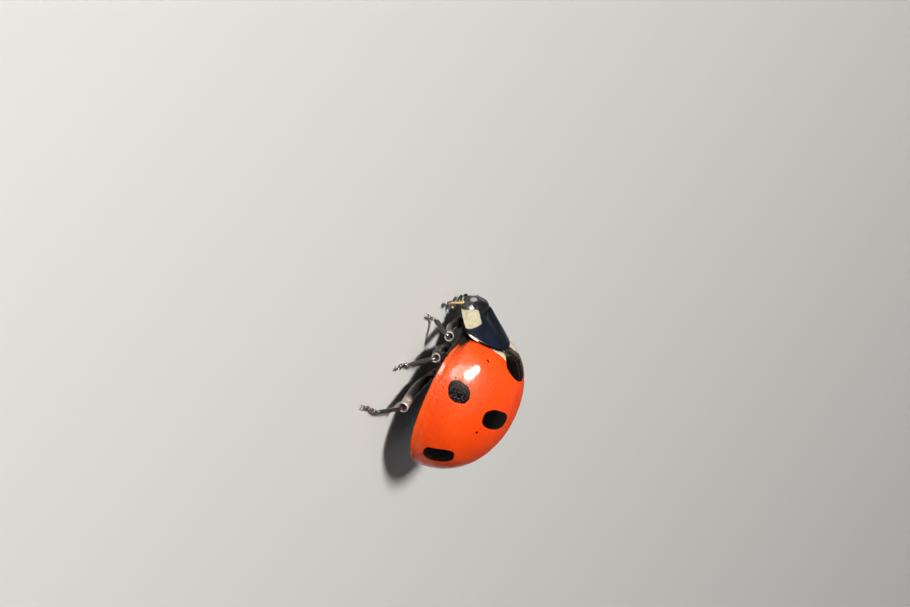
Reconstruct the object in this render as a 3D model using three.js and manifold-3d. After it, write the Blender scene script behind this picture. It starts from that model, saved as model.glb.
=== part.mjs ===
// A seven-spot ladybird, Coccinella septempunctata, as a still, life-size model of an adult.
// It stands on a flat floor at z = 0. Sizes are in millimetres. +X is the animal's left,
// -Y is the way it faces, and +Z is up. The body is drawn with y = 0 at the base of the wing cases.

import * as THREE from 'three';
import Module from 'manifold-3d';

const wasm = await Module();
wasm.setup();

// ---------------------------------------------------------------- driving dimensions

const MARGIN_HEIGHT = 1.37; // the edge of the wing cases above the floor
const ORIGIN_BEHIND_BASE = 2.1; // from the base of the wing cases back to the frame's origin
const CLEARANCE = 0.02; // between neighbours that only rest against each other

const ELYTRA = {
  length: 5.83,
  halfWidth: 2.85,
  dome: 2.83, // crest above the margin
  baseHalfWidth: 1.41,
  baseDome: 1.52,
  widestAt: 0.46, // share of the length
  highestAt: 0.4,
  sideFullness: 2.18, // exponents of the taper behind the widest and highest places
  sideEnd: 2.0,
  backFullness: 2.11,
  backEnd: 2.04,
  sectionPower: 1.98, // of the superellipse across the body
  baseBow: -0.16, // how far the outer base reaches forward
  thickness: 0.5,
};

const PRONOTUM = {
  hindHalfWidth: 1.5,
  frontHalfWidth: 1.01,
  hindCorner: { y: -0.25, z: MARGIN_HEIGHT + 0.24 },
  frontCorner: { y: -1.07, z: MARGIN_HEIGHT - 0.6 },
  hindCrest: { y: -0.05, z: MARGIN_HEIGHT + 1.5 },
  frontCrest: { y: -1.0, z: MARGIN_HEIGHT + 0.2 },
  widthPower: 1.5,
  crestPower: 1.25,
  thickness: 0.5,
  crestThickness: 0.6, // measured straight down, where the shield slopes
  sternumDepth: 0.84, // of the chest below the shield's hind corners
};

const SCUTELLUM = {
  halfWidth: 0.27,
  length: 0.42,
  depth: 0.85,
  reach: 0.16, // share of the wing cases' length that covers it amply
};

const BODY = {
  split: 0.4, // share of the length where the thorax ends and the abdomen starts
  depth: 0.41, // of the belly below the margin
};

// The head hangs from under the neck shield with its face turned forward and down.
const HEAD = {
  centreY: -0.98,
  lean: 0.1, // how much further forward the brow is than the mouth, per millimetre of height
  top: 1.56,
  bottom: 0.4,
  halfWidth: 0.84,
  halfDepth: 0.48,
  widestAt: 0.42, // share of the way down
};
const EYE = { centre: new THREE.Vector3(0.8, -1.12, 1.0), radii: new THREE.Vector3(0.26, 0.26, 0.34) };
const LABRUM = { centre: new THREE.Vector3(0, -1.16, 0.6), radii: new THREE.Vector3(0.42, 0.27, 0.22) };
const JAW = { centre: new THREE.Vector3(0.24, -0.98, 0.25), radii: new THREE.Vector3(0.22, 0.24, 0.14) };
// The left feeler reaches forward and the right one is turned back; both are drawn on the left.
const ANTENNA = {
  left: [[0.62, -1.22, 0.7], [1.0, -1.34, 0.6], [1.42, -1.42, 0.46], [1.8, -1.38, 0.32]],
  right: [[0.62, -1.22, 0.7], [1.0, -1.27, 0.58], [1.38, -1.05, 0.46], [1.62, -0.78, 0.42]],
};
const PALP = [[0.61, -0.91, 0.36], [0.74, -0.87, 0.33], [0.88, -0.79, 0.3]];

const FEELER_RADIUS = 0.25;

// The white corner plate of the middle chest, which shows between neck shield and wing case.
const EPIMERON = {
  centre: new THREE.Vector3(1.5, -0.2, 1.84),
  radii: new THREE.Vector3(0.26, 0.22, 0.24),
};

// Each leg's places on the animal's left, from the body out: the middle of the coxa, the end of
// the coxa, the knee, the ankle and the tip of the foot.
const LEGS = {
  front: {
    coxa: [0.42, -0.3, 0.72], hip: [0.66, -0.3, 0.62], knee: [2.35, -0.13, 1.1],
    ankle: [2.2, -0.42, 0.3], toe: [2.94, -0.63, 0],
  },
  middle: {
    coxa: [0.62, 0.82, 0.74], hip: [0.86, 0.82, 0.62], knee: [2.8, 0.8, 1.08],
    ankle: [3.0, 1.48, 0.3], toe: [4.09, 1.62, 0],
  },
  hind: {
    coxa: [0.78, 1.95, 0.74], hip: [1.05, 2.02, 0.62], knee: [3.35, 3.12, 0.78],
    ankle: [4.72, 3.38, 0.3], toe: [6.25, 3.02, 0],
  },
};
const COXA_RADII = new THREE.Vector3(0.4, 0.28, 0.26);
const FEMUR_RADII = [0.25, 0.28, 0.29, 0.28, 0.25];
const FEMUR_SAG = 0.12; // how far the thigh's middle hangs below the line from hip to knee
const TIBIA_RADII = [0.25, 0.25, 0.26, 0.25];
const TIBIA_BOW = 0.04;
const FOOT_HALF_WIDTH = 0.26;
const FOOT_HEIGHT = 0.5;
const HEEL = 0.1; // how far the foot starts behind the ankle
// The right feet are set a little apart from the left ones, as in a walking animal at rest.
const RIGHT_SHIFT = { front: [-0.1, 0.14], middle: [0.12, -0.16], hind: [0, 0.12] };

const COLOURS = {
  elytra: new THREE.Color(0.93, 0.22, 0.03),
  black: new THREE.Color(0.03, 0.03, 0.035),
  ivory: new THREE.Color(0.93, 0.88, 0.74),
  eye: new THREE.Color(0.06, 0.07, 0.08),
  feeler: new THREE.Color(0.33, 0.21, 0.07),
  leg: new THREE.Color(0.05, 0.045, 0.04),
};

// ---------------------------------------------------------------- meshes

const SAME_PLACE = 1e3; // steps per millimetre of the grid on which corners count as one

// A closed geometry from triangles of points, turned so that it faces out.
function closedGeometry(triangles) {
  const seen = new Map();
  const points = [];
  const corner = (p) => {
    const key = [p.x, p.y, p.z].map((v) => Math.round(v * SAME_PLACE)).join();
    if (!seen.has(key)) {
      seen.set(key, points.length);
      points.push(p);
    }
    return seen.get(key);
  };
  let faces = triangles.map((t) => t.map(corner));
  faces = faces.filter(([a, b, c]) => a !== b && b !== c && c !== a);
  const cross = new THREE.Vector3();
  const volume = (sum, [a, b, c]) => sum + points[a].dot(cross.crossVectors(points[b], points[c]));
  const flipped = faces.reduce(volume, 0) < 0;
  const geometry = new THREE.BufferGeometry().setFromPoints(points);
  geometry.setIndex(faces.flatMap(([a, b, c]) => (flipped ? [a, c, b] : [a, b, c])));
  return geometry;
}

// A closed geometry over a stack of rings with equally many corners. Each end is closed by a strip
// that joins the ring's first half to its second, so that a crescent is closed as well as a disc.
function loft(rings) {
  const triangles = [];
  const quad = (a, b, c, d) => triangles.push([a, b, c], [a, c, d]);
  const corners = rings[0].length;
  for (let i = 0; i + 1 < rings.length; i += 1) {
    for (let j = 0; j < corners; j += 1) {
      const next = (j + 1) % corners;
      quad(rings[i][j], rings[i][next], rings[i + 1][next], rings[i + 1][j]);
    }
  }
  const cap = (ring, turned) => {
    for (let j = 0; j < corners / 2 - 1; j += 1) {
      const strip = [ring[j], ring[j + 1], ring[corners - 2 - j], ring[corners - 1 - j]];
      quad(...(turned ? strip.reverse() : strip));
    }
  };
  cap(rings[0], true);
  cap(rings[rings.length - 1], false);
  return closedGeometry(triangles);
}

function toManifold(geometry) {
  const vertProperties = Float32Array.from(geometry.attributes.position.array);
  const triVerts = Uint32Array.from(geometry.index.array);
  return new wasm.Manifold(new wasm.Mesh({ numProp: 3, vertProperties, triVerts }));
}

function fromManifold(solid) {
  const { numProp, vertProperties, triVerts } = solid.getMesh();
  const at = (i) => new THREE.Vector3().fromArray(vertProperties, i * numProp);
  const triangles = [];
  for (let i = 0; i < triVerts.length; i += 3) {
    triangles.push([at(triVerts[i]), at(triVerts[i + 1]), at(triVerts[i + 2])]);
  }
  return closedGeometry(triangles);
}

// The largest of the separate bodies of a solid, without the loose slivers that a cut can leave.
function largest(solid) {
  return solid.decompose().sort((a, b) => b.volume() - a.volume())[0];
}

// What is left of a solid after its neighbours are taken out of it.
function cut(geometry, ...tools) {
  const solid = tools.reduce((left, tool) => left.subtract(toManifold(tool)), toManifold(geometry));
  const joined = toManifold(fromManifold(largest(solid)));
  return fromManifold(largest(joined));
}

// The same surface with its shared corners joined, scaled by 1 or -1 along each axis.
function welded(geometry, scale = new THREE.Vector3(1, 1, 1)) {
  const source = geometry.index ? geometry.toNonIndexed() : geometry;
  const points = source.attributes.position;
  const triangles = [];
  const at = (i) => new THREE.Vector3().fromBufferAttribute(points, i).multiply(scale);
  for (let i = 0; i < points.count; i += 3) {
    triangles.push([at(i), at(i + 1), at(i + 2)]);
  }
  return closedGeometry(triangles);
}

const mirrored = (geometry) => welded(geometry, new THREE.Vector3(-1, 1, 1));

const steps = (count) => Array.from({ length: count + 1 }, (_, i) => i / count);
const eased = (t) => (1 - Math.cos(Math.PI * t)) / 2;
const quarter = (t) => Math.sqrt(Math.max(0, 1 - t * t));

function ellipsoid(centre, radii, around = 12, along = 8) {
  const geometry = new THREE.SphereGeometry(1, around, along);
  geometry.scale(radii.x, radii.y, radii.z);
  geometry.translate(centre.x, centre.y, centre.z);
  return welded(geometry);
}

// A round limb along a curve through the given places, with a half thickness at each, and its
// ends rounded off.
function limb(places, radii, pieces = 4, sides = 8) {
  const curve = new THREE.CatmullRomCurve3(places);
  const frames = curve.computeFrenetFrames(pieces, false);
  const radiusAt = (t) => {
    const step = Math.min(t * (radii.length - 1), radii.length - 1.001);
    const low = Math.floor(step);
    return THREE.MathUtils.lerp(radii[low], radii[low + 1], step - low);
  };
  const ring = (t, frame, radius, forward) => steps(sides).slice(0, sides).map((turn) => {
    const angle = turn * 2 * Math.PI;
    return curve.getPointAt(t)
      .addScaledVector(frames.tangents[frame], forward)
      .addScaledVector(frames.normals[frame], radius * Math.cos(angle))
      .addScaledVector(frames.binormals[frame], radius * Math.sin(angle));
  });
  const dome = [[0, 0.5], [0.7, 0.32]]; // share of the radius, and reach, at a round end
  const first = radii[0];
  const last = radii[radii.length - 1];
  return loft([
    ...dome.map(([share, reach]) => ring(0, 0, share * first, -reach * first)),
    ...steps(pieces).map((t, i) => ring(t, i, radiusAt(t), 0)),
    ...dome.toReversed().map(([share, reach]) => ring(1, pieces, share * last, reach * last)),
  ]);
}

// ---------------------------------------------------------------- wing cases and body

// Half width, crest height and y at a share s of the length, inset by a wall thickness.
function outline(s, inset) {
  const e = ELYTRA;
  const halfWidth = e.halfWidth - inset;
  const dome = e.dome - inset;
  const baseHalfWidth = e.baseHalfWidth - inset * 0.6;
  const baseDome = e.baseDome - inset * 0.9;
  const side = s < e.widestAt
    ? baseHalfWidth + (halfWidth - baseHalfWidth) * quarter(1 - s / e.widestAt)
    : halfWidth * (1 - ((s - e.widestAt) / (1 - e.widestAt)) ** e.sideFullness) ** (1 / e.sideEnd);
  const crest = s < e.highestAt
    ? baseDome + (dome - baseDome) * quarter(1 - s / e.highestAt)
    : dome * (1 - ((s - e.highestAt) / (1 - e.highestAt)) ** e.backFullness) ** (1 / e.backEnd);
  return { side, crest, y: s * (e.length - inset) };
}

// A point over the back: turn runs from 0 at the middle to 90 degrees at the left margin.
function backPoint(s, turn, inset) {
  const { side, crest, y } = outline(s, inset);
  const power = 2 / ELYTRA.sectionPower;
  const across = Math.abs(Math.sin(turn)) ** power;
  const bow = (1 - s) ** 3 * ELYTRA.baseBow * across ** 2;
  return new THREE.Vector3(
    Math.sign(turn) * side * across,
    y + bow,
    MARGIN_HEIGHT + crest * Math.abs(Math.cos(turn)) ** power,
  );
}

function elytron() {
  const wall = (inset) => (s) => steps(9).map((t) => {
    const point = backPoint(s, t * Math.PI / 2, inset);
    point.x = Math.max(point.x, CLEARANCE / 2);
    return point;
  });
  const outer = wall(0);
  const inner = wall(ELYTRA.thickness);
  return loft(steps(15).map(eased).map((s) => [...outer(s), ...inner(s).reverse()]));
}

// The trunk under the wing cases between two shares of the length.
function trunk(from, to, count) {
  const inset = ELYTRA.thickness + CLEARANCE;
  return loft(steps(count).map((t) => {
    const s = from + (to - from) * t;
    const turns = steps(9).map((u) => (u - 0.5) * Math.PI);
    const back = turns.map((turn) => backPoint(s, turn, inset));
    const { crest } = outline(s, inset);
    const depth = BODY.depth * Math.min(1, crest / ELYTRA.baseDome);
    const belly = turns.map((turn, i) => new THREE.Vector3(
      back[i].x,
      back[i].y,
      MARGIN_HEIGHT - CLEARANCE - depth * Math.abs(Math.cos(turn)),
    ));
    return [...back, ...belly.reverse()];
  }));
}

function scutellum() {
  const { halfWidth, length, depth } = SCUTELLUM;
  const waist = [halfWidth / 2, length / 2];
  const shape = new THREE.Shape();
  shape.moveTo(-halfWidth, 0);
  shape.lineTo(halfWidth, 0);
  shape.quadraticCurveTo(...waist, 0, length);
  shape.quadraticCurveTo(-waist[0], waist[1], -halfWidth, 0);
  const geometry = new THREE.ExtrudeGeometry(shape, { depth, bevelEnabled: false, curveSegments: 5 });
  geometry.translate(0, 0, MARGIN_HEIGHT + ELYTRA.baseDome - depth / 2);
  const shared = toManifold(welded(geometry)).intersect(toManifold(shoulders()));
  return fromManifold(shared);
}

// All that lies under the outer surface of the wing cases, near their base.
function shoulders() {
  return loft(steps(8).map((t) => {
    const s = SCUTELLUM.reach * t * t;
    const turns = steps(16).map((u) => (u - 0.5) * Math.PI);
    const top = turns.map((turn) => backPoint(s, turn, 0));
    const bottom = top.map((p) => new THREE.Vector3(p.x, p.y, MARGIN_HEIGHT));
    return [...top, ...bottom.reverse()];
  }));
}

// ---------------------------------------------------------------- neck shield and chest

// A point of the neck shield: v runs from its hind edge to its front edge.
function shieldPoint(v, turn, inset, drop) {
  const p = PRONOTUM;
  const { lerp } = THREE.MathUtils;
  const halfWidth = lerp(p.hindHalfWidth, p.frontHalfWidth, v ** p.widthPower) - inset;
  const crest = lerp(p.hindCrest.z, p.frontCrest.z, v ** p.crestPower) - drop;
  const edge = lerp(p.hindCorner.z, p.frontCorner.z, v);
  const edgeY = lerp(p.hindCorner.y, p.frontCorner.y, v);
  const crestY = lerp(p.hindCrest.y, p.frontCrest.y, v);
  const across = Math.sin(turn);
  return new THREE.Vector3(
    halfWidth * across,
    lerp(crestY, edgeY, across ** 2),
    lerp(edge, crest, Math.cos(turn)),
  );
}

function pronotum() {
  const turns = steps(15).map((u) => (u - 0.5) * Math.PI);
  const { thickness, crestThickness } = PRONOTUM;
  return loft(steps(6).map((v) => [
    ...turns.map((turn) => shieldPoint(v, turn, 0, 0)),
    ...turns.map((turn) => shieldPoint(v, turn, thickness, crestThickness)).reverse(),
  ]));
}

function prothorax() {
  const turns = steps(9).map((u) => (u - 0.5) * Math.PI);
  const { thickness, crestThickness, sternumDepth, hindCorner } = PRONOTUM;
  const bottom = hindCorner.z - sternumDepth;
  return loft(steps(4).map((t) => {
    const v = t * 0.8;
    const top = turns.map((turn) => {
      return shieldPoint(v, turn, thickness + CLEARANCE, crestThickness + CLEARANCE);
    });
    const edge = top[0].z;
    const chest = top.map((p, i) => new THREE.Vector3(
      p.x,
      p.y,
      edge - (edge - bottom) * Math.cos(turns[i]),
    ));
    return [...top, ...chest.reverse()];
  }));
}

// ---------------------------------------------------------------- head

function skull() {
  const { top, bottom, widestAt, halfWidth, halfDepth, centreY, lean } = HEAD;
  const around = steps(16).slice(0, 16).map((turn) => turn * 2 * Math.PI);
  return loft(steps(9).map(eased).map((t) => {
    const reach = t < widestAt ? 1 - t / widestAt : (t - widestAt) / (1 - widestAt);
    const size = Math.sqrt(1 - reach ** 2.4);
    const z = top + (bottom - top) * t;
    const y = centreY - lean * (z - bottom);
    return around.map((angle) => new THREE.Vector3(
      size * halfWidth * Math.cos(angle),
      y + size * halfDepth * Math.sin(angle),
      z,
    ));
  }));
}

// ---------------------------------------------------------------- legs

const place = ([x, y, z]) => new THREE.Vector3(x, y, z);

// The foot is a bar with a round back and a flat sole on the floor.
function foot(ankle, toe) {
  const along = toe.clone().sub(ankle).setZ(0).normalize();
  const side = new THREE.Vector3(-along.y, along.x, 0);
  const stations = [[0, 0.6], [0.08, 0.9], [0.3, 1], [0.75, 1], [0.94, 0.85], [1, 0.55]];
  const start = ankle.clone().setZ(0).addScaledVector(along, -HEEL);
  return loft(stations.map(([share, size]) => {
    const middle = start.clone().lerp(toe.clone().setZ(0), share);
    const arc = steps(7).map((u) => u * Math.PI).map((angle) => middle.clone()
      .addScaledVector(side, size * FOOT_HALF_WIDTH * Math.cos(angle))
      .setZ(size * FOOT_HEIGHT * Math.sin(angle) ** 0.8));
    return arc;
  }));
}

function leg(name, side) {
  const spec = LEGS[name];
  const [shiftX, shiftY] = side > 0 ? [0, 0] : RIGHT_SHIFT[name];
  const at = (key, share) => {
    const point = place(spec[key]);
    point.x = side * (point.x + shiftX * share);
    point.y += shiftY * share;
    return point;
  };
  const [middle, hip, knee, ankle, toe] = [
    at('coxa', 0), at('hip', 0), at('knee', 0.5), at('ankle', 1), at('toe', 1),
  ];
  const arch = hip.clone().lerp(knee, 0.5);
  arch.z -= FEMUR_SAG;
  const coxa = ellipsoid(middle, COXA_RADII, 8, 6);
  const femur = cut(limb([hip, arch, knee], FEMUR_RADII), coxa);
  const shin = knee.clone().lerp(ankle, 0.5);
  shin.z += TIBIA_BOW;
  const sole = foot(ankle, toe);
  const tibia = cut(limb([knee, shin, ankle], TIBIA_RADII, 3), femur, sole);
  return { coxa, femur, tibia, tarsus: sole };
}

// ---------------------------------------------------------------- the animal

const animal = new THREE.Group();
animal.position.set(0, -ORIGIN_BEHIND_BASE, 0);

function add(name, geometry, colour, roughness = 0.3) {
  const material = new THREE.MeshStandardMaterial({ color: colour, roughness, metalness: 0 });
  const mesh = new THREE.Mesh(geometry, material);
  mesh.name = name;
  animal.add(mesh);
}

const legs = {};
for (const name of Object.keys(LEGS)) {
  for (const side of [1, -1]) {
    legs[`leg_${name}_${side > 0 ? 'left' : 'right'}`] = leg(name, side);
  }
}
const coxae = Object.values(legs).map((parts) => parts.coxa);

const scute = scutellum();
const head = skull();
const shield = cut(pronotum(), head);
const chest = cut(prothorax(), head, ...coxae.slice(0, 2));
const thorax = cut(trunk(0, BODY.split, 5), ...coxae.slice(2), scute);
const wing = cut(elytron(), scute, shield);
const epimeron = cut(ellipsoid(EPIMERON.centre, EPIMERON.radii, 8, 6), shield, wing, chest, thorax);

const eye = cut(ellipsoid(EYE.centre, EYE.radii, 12, 7), shield, head, chest);
const labrum = cut(ellipsoid(LABRUM.centre, LABRUM.radii, 12, 6), head);
const jaw = ellipsoid(JAW.centre, JAW.radii, 8, 6);
const feeler = (places, pieces) => limb(places.map(place), [FEELER_RADIUS, FEELER_RADIUS], pieces);
const antenna = (side) => cut(feeler(ANTENNA[side], 4), head, eye);
const palp = cut(feeler(PALP, 2), head);

add('pronotum', shield, COLOURS.black, 0.2);
add('prothorax', chest, COLOURS.black);
add('thorax', thorax, COLOURS.black);
add('abdomen', trunk(BODY.split + 0.004, 1, 8), COLOURS.black);
add('scutellum', scute, COLOURS.black);
add('head', head, COLOURS.black);
add('labrum', labrum, COLOURS.black);

const pairs = {
  elytron: [wing, COLOURS.elytra],
  mesepimeron: [epimeron, COLOURS.ivory],
  eye: [eye, COLOURS.eye],
  mandible: [jaw, COLOURS.black],
  palp: [palp, COLOURS.feeler],
};
for (const [name, [geometry, colour]] of Object.entries(pairs)) {
  add(`${name}_left`, geometry, colour);
  add(`${name}_right`, mirrored(geometry), colour);
}
add('antenna_left', antenna('left'), COLOURS.feeler);
add('antenna_right', mirrored(antenna('right')), COLOURS.feeler);
for (const [name, parts] of Object.entries(legs)) {
  for (const [segment, geometry] of Object.entries(parts)) {
    add(`${name}_${segment}`, geometry, COLOURS.leg);
  }
}

export default animal;
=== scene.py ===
"""A seven-spot ladybird as a still, life-size museum model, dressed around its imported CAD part.

Lengths inside the classes are millimetres in the animal's own frame: +X is its left, -Y the way it
faces, +Z up, y = 0 at the base of the wing cases and z = 0 the floor. Meshes are made in metres.
"""

import logging
import math
from dataclasses import dataclass, field
from enum import Enum
from typing import Any, ClassVar, Optional, Sequence, Union

import bmesh
import bpy
import numpy as np
from mathutils import Matrix, Vector


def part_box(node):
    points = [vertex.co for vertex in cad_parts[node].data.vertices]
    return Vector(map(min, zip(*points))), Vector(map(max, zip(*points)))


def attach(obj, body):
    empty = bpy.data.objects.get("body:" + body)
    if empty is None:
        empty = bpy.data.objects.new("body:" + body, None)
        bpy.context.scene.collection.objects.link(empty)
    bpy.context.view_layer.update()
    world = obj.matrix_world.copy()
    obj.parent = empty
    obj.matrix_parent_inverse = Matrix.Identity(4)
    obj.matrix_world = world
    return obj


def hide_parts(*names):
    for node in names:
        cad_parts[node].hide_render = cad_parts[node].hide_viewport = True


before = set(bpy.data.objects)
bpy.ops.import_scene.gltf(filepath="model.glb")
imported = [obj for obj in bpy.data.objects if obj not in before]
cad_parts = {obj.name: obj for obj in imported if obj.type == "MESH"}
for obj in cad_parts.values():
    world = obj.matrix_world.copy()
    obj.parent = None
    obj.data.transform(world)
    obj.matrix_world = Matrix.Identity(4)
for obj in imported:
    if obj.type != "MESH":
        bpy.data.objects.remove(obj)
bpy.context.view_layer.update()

LOG = logging.getLogger("ladybird")

MM = 0.001
BODY = "root"

Colour = tuple[float, float, float]
Triple = tuple[float, float, float]
Material = bpy.types.Material
Object = bpy.types.Object


class Side(Enum):
    """The animal's two sides, with the sign of x on each."""

    LEFT = 1
    RIGHT = -1

    @property
    def word(self) -> str:
        """The side's name as the CAD nodes use it."""
        return self.name.lower()


class Slot(Enum):
    """The record's material slots."""

    ELYTRA = "elytra"
    SHIELD = "shield"
    CUTICLE = "cuticle"
    IVORY = "ivory"
    EYE = "eye"
    FEELER = "feeler"
    LEG = "leg"


class Pair(Enum):
    """The three pairs of legs."""

    FRONT = "front"
    MIDDLE = "middle"
    HIND = "hind"


# ---------------------------------------------------------------- node trees


class Value:
    """A node's output that takes part in Python arithmetic.

    Args:
        tree: the node tree that the output belongs to.
        socket: the output.
    """

    def __init__(self, tree: "Tree", socket: bpy.types.NodeSocket) -> None:
        """Keeps the socket with its tree."""
        self.tree = tree
        self.socket = socket

    def _math(self, operation: str, *terms: "Term") -> "Value":
        """The output of a Math node over the given terms."""
        inputs = dict(enumerate(terms))
        return self.tree.value("ShaderNodeMath", {"operation": operation}, inputs)

    def __add__(self, other: "Term") -> "Value":
        """self + other."""
        return self._math("ADD", self, other)

    def __radd__(self, other: "Term") -> "Value":
        """other + self."""
        return self._math("ADD", other, self)

    def __sub__(self, other: "Term") -> "Value":
        """self - other."""
        return self._math("SUBTRACT", self, other)

    def __rsub__(self, other: "Term") -> "Value":
        """other - self."""
        return self._math("SUBTRACT", other, self)

    def __mul__(self, other: "Term") -> "Value":
        """self * other."""
        return self._math("MULTIPLY", self, other)

    def __rmul__(self, other: "Term") -> "Value":
        """other * self."""
        return self._math("MULTIPLY", other, self)

    def __truediv__(self, other: "Term") -> "Value":
        """self / other."""
        return self._math("DIVIDE", self, other)

    def __rtruediv__(self, other: "Term") -> "Value":
        """other / self."""
        return self._math("DIVIDE", other, self)

    def __pow__(self, other: "Term") -> "Value":
        """self to the power of other."""
        return self._math("POWER", self, other)

    def __abs__(self) -> "Value":
        """The size of self without its sign."""
        return self._math("ABSOLUTE", self)

    def most(self, other: "Term") -> "Value":
        """The larger of self and other."""
        return self._math("MAXIMUM", self, other)

    def step(self, low: float, high: float) -> "Value":
        """A smooth rise from 0 at low to 1 at high, which may be the smaller number.

        Args:
            low: where the result is 0.
            high: where the result is 1.

        Returns:
            The rise, held at its ends.
        """
        settings = {"interpolation_type": "SMOOTHSTEP", "clamp": True}
        if low > high:
            return 1.0 - self.step(high, low)
        inputs = {0: self, 1: low, 2: high, 3: 0.0, 4: 1.0}
        return self.tree.value("ShaderNodeMapRange", settings, inputs)


Term = Union[float, Value]


class Tree:
    """A node tree, with one method that adds any node.

    Args:
        tree: the shader or geometry node tree.
    """

    def __init__(self, tree: bpy.types.NodeTree) -> None:
        """Keeps the tree."""
        self.tree = tree

    def node(self, kind: str, settings: dict[str, Any], inputs: dict[Any, Any]) -> bpy.types.Node:
        """Adds a node.

        Args:
            kind: the node's type.
            settings: its properties, set first.
            inputs: numbers, vectors, colours or Values by socket name or index.

        Returns:
            The node.
        """
        made = self.tree.nodes.new(kind)
        for name, setting in settings.items():
            setattr(made, name, setting)
        for key, content in inputs.items():
            socket = made.inputs[key]
            if isinstance(content, Value):
                self.tree.links.new(content.socket, socket)
            else:
                socket.default_value = content
        return made

    def value(
        self, kind: str, settings: dict[str, Any], inputs: dict[Any, Any], output: Any = 0
    ) -> Value:
        """Adds a node and gives one of its outputs.

        Args:
            kind: the node's type.
            settings: its properties.
            inputs: values or links by socket name or index.
            output: the output's name or index.

        Returns:
            The output.
        """
        return Value(self, self.node(kind, settings, inputs).outputs[output])

    def mix(self, share: Term, first: Any, second: Any) -> Value:
        """A colour that goes from first to second.

        Args:
            share: of the second colour, from 0 to 1.
            first: a colour or a Value.
            second: a colour or a Value.

        Returns:
            The mixed colour.
        """
        paints = [(*c, 1.0) if isinstance(c, tuple) else c for c in (first, second)]
        inputs = {0: share, 6: paints[0], 7: paints[1]}
        return self.value("ShaderNodeMix", {"data_type": "RGBA"}, inputs, 2)

    def split(self, vector: Value) -> tuple[Value, Value, Value]:
        """The three numbers of a vector."""
        made = self.node("ShaderNodeSeparateXYZ", {}, {0: vector})
        return tuple(Value(self, made.outputs[i]) for i in range(3))

    def vector(self, operation: str, *terms: Any, output: int = 0) -> Value:
        """The output of a Vector Math node over the given terms."""
        inputs = dict(enumerate(terms))
        return self.value("ShaderNodeVectorMath", {"operation": operation}, inputs, output)

    def scaled(self, vector: Value, factor: Term) -> Value:
        """A vector times a number."""
        inputs = {0: vector, "Scale": factor}
        return self.value("ShaderNodeVectorMath", {"operation": "SCALE"}, inputs)

    def join(self, x: Term, y: Term, z: Term) -> Value:
        """A vector from three numbers."""
        return self.value("ShaderNodeCombineXYZ", {}, {0: x, 1: y, 2: z})


class Shader(Tree):
    """The node tree of a new material around one Principled BSDF.

    Args:
        name: the material's name.
        constants: the Principled BSDF's sockets that are the same all over.
    """

    def __init__(self, name: str, constants: dict[str, Any]) -> None:
        """Makes the material with its two end nodes.

        Args:
            name: the material's name.
            constants: the Principled BSDF's sockets that are the same all over.
        """
        self.material = bpy.data.materials.new(name)
        self.material.use_nodes = True
        super().__init__(self.material.node_tree)
        self.tree.nodes.clear()
        self.surface = self.node("ShaderNodeBsdfPrincipled", {}, constants)
        output = self.node("ShaderNodeOutputMaterial", {}, {})
        self.tree.links.new(self.surface.outputs[0], output.inputs[0])

    def feed(self, **sockets: Value) -> Material:
        """Links values to the Principled BSDF's sockets, named with _ for each space.

        Args:
            sockets: the values by socket name.

        Returns:
            The finished material.
        """
        for name, content in sockets.items():
            self.tree.links.new(content.socket, self.surface.inputs[name.replace("_", " ")])
        return self.material

    def place(self) -> Value:
        """The point on the piece, in millimetres of the frame."""
        point = self.value("ShaderNodeTexCoord", {}, {}, "Object")
        return self.vector("MULTIPLY", point, (1 / MM, 1 / MM, 1 / MM))

    def carried(self, name: str) -> Value:
        """A vector that the mesh's points carry under a name."""
        settings = {"attribute_type": "GEOMETRY", "attribute_name": name}
        return self.value("ShaderNodeAttribute", settings, {}, "Vector")

    def noise(self, place: Value, per_mm: float, detail: float = 3.0) -> Value:
        """Soft noise from 0 to 1 with so many waves in a millimetre."""
        inputs = {"Vector": place, "Scale": per_mm, "Detail": detail, "Roughness": 0.55}
        return self.value("ShaderNodeTexNoise", {}, inputs, 0)

    def cells(self, place: Value, per_mm: float, jitter: float = 1.0) -> Value:
        """The distance to the middle of the nearest of so many cells in a millimetre."""
        inputs = {"Vector": place, "Scale": per_mm, "Randomness": jitter}
        return self.value("ShaderNodeTexVoronoi", {"feature": "F1"}, inputs, "Distance")

    def relief(self, height: Value, depth: float, under: Optional[Value] = None) -> Value:
        """A bumped normal.

        Args:
            height: from 0 to 1.
            depth: in millimetres, of a height of 1.
            under: the normal below it, where there is one.

        Returns:
            The normal.
        """
        inputs = {"Strength": 1.0, "Distance": depth * MM, "Height": height}
        if under is not None:
            inputs["Normal"] = under
        return self.value("ShaderNodeBump", {}, inputs)


# ---------------------------------------------------------------- finishes


@dataclass(frozen=True)
class Spot:
    """A marking on a wing case, by arc from the suture (across) and length from the base (along)."""

    across: float
    along: float
    half_width: float
    half_length: float
    tilt: float = 0.0
    power: float = 2.2
    edge: float = 0.03
    ripple: float = 0.16

    def mask(self, across: Value, along: Value, noise: Value) -> Value:
        """Where the spot lies.

        Args:
            across: arc from the suture, in millimetres.
            along: length from the base, in millimetres.
            noise: from 0 to 1, which makes the edge uneven.

        Returns:
            1 on the spot and 0 off it.
        """
        cos, sin = math.cos(self.tilt), math.sin(self.tilt)
        x = across - self.across
        y = along - self.along
        wide = abs((x * cos + y * sin) / self.half_width) ** self.power
        long = abs((y * cos - x * sin) / self.half_length) ** self.power
        reach = (wide + long) ** (1 / self.power) + (noise - 0.5) * self.ripple
        return reach.step(1 + self.edge, 1 - self.edge)


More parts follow.
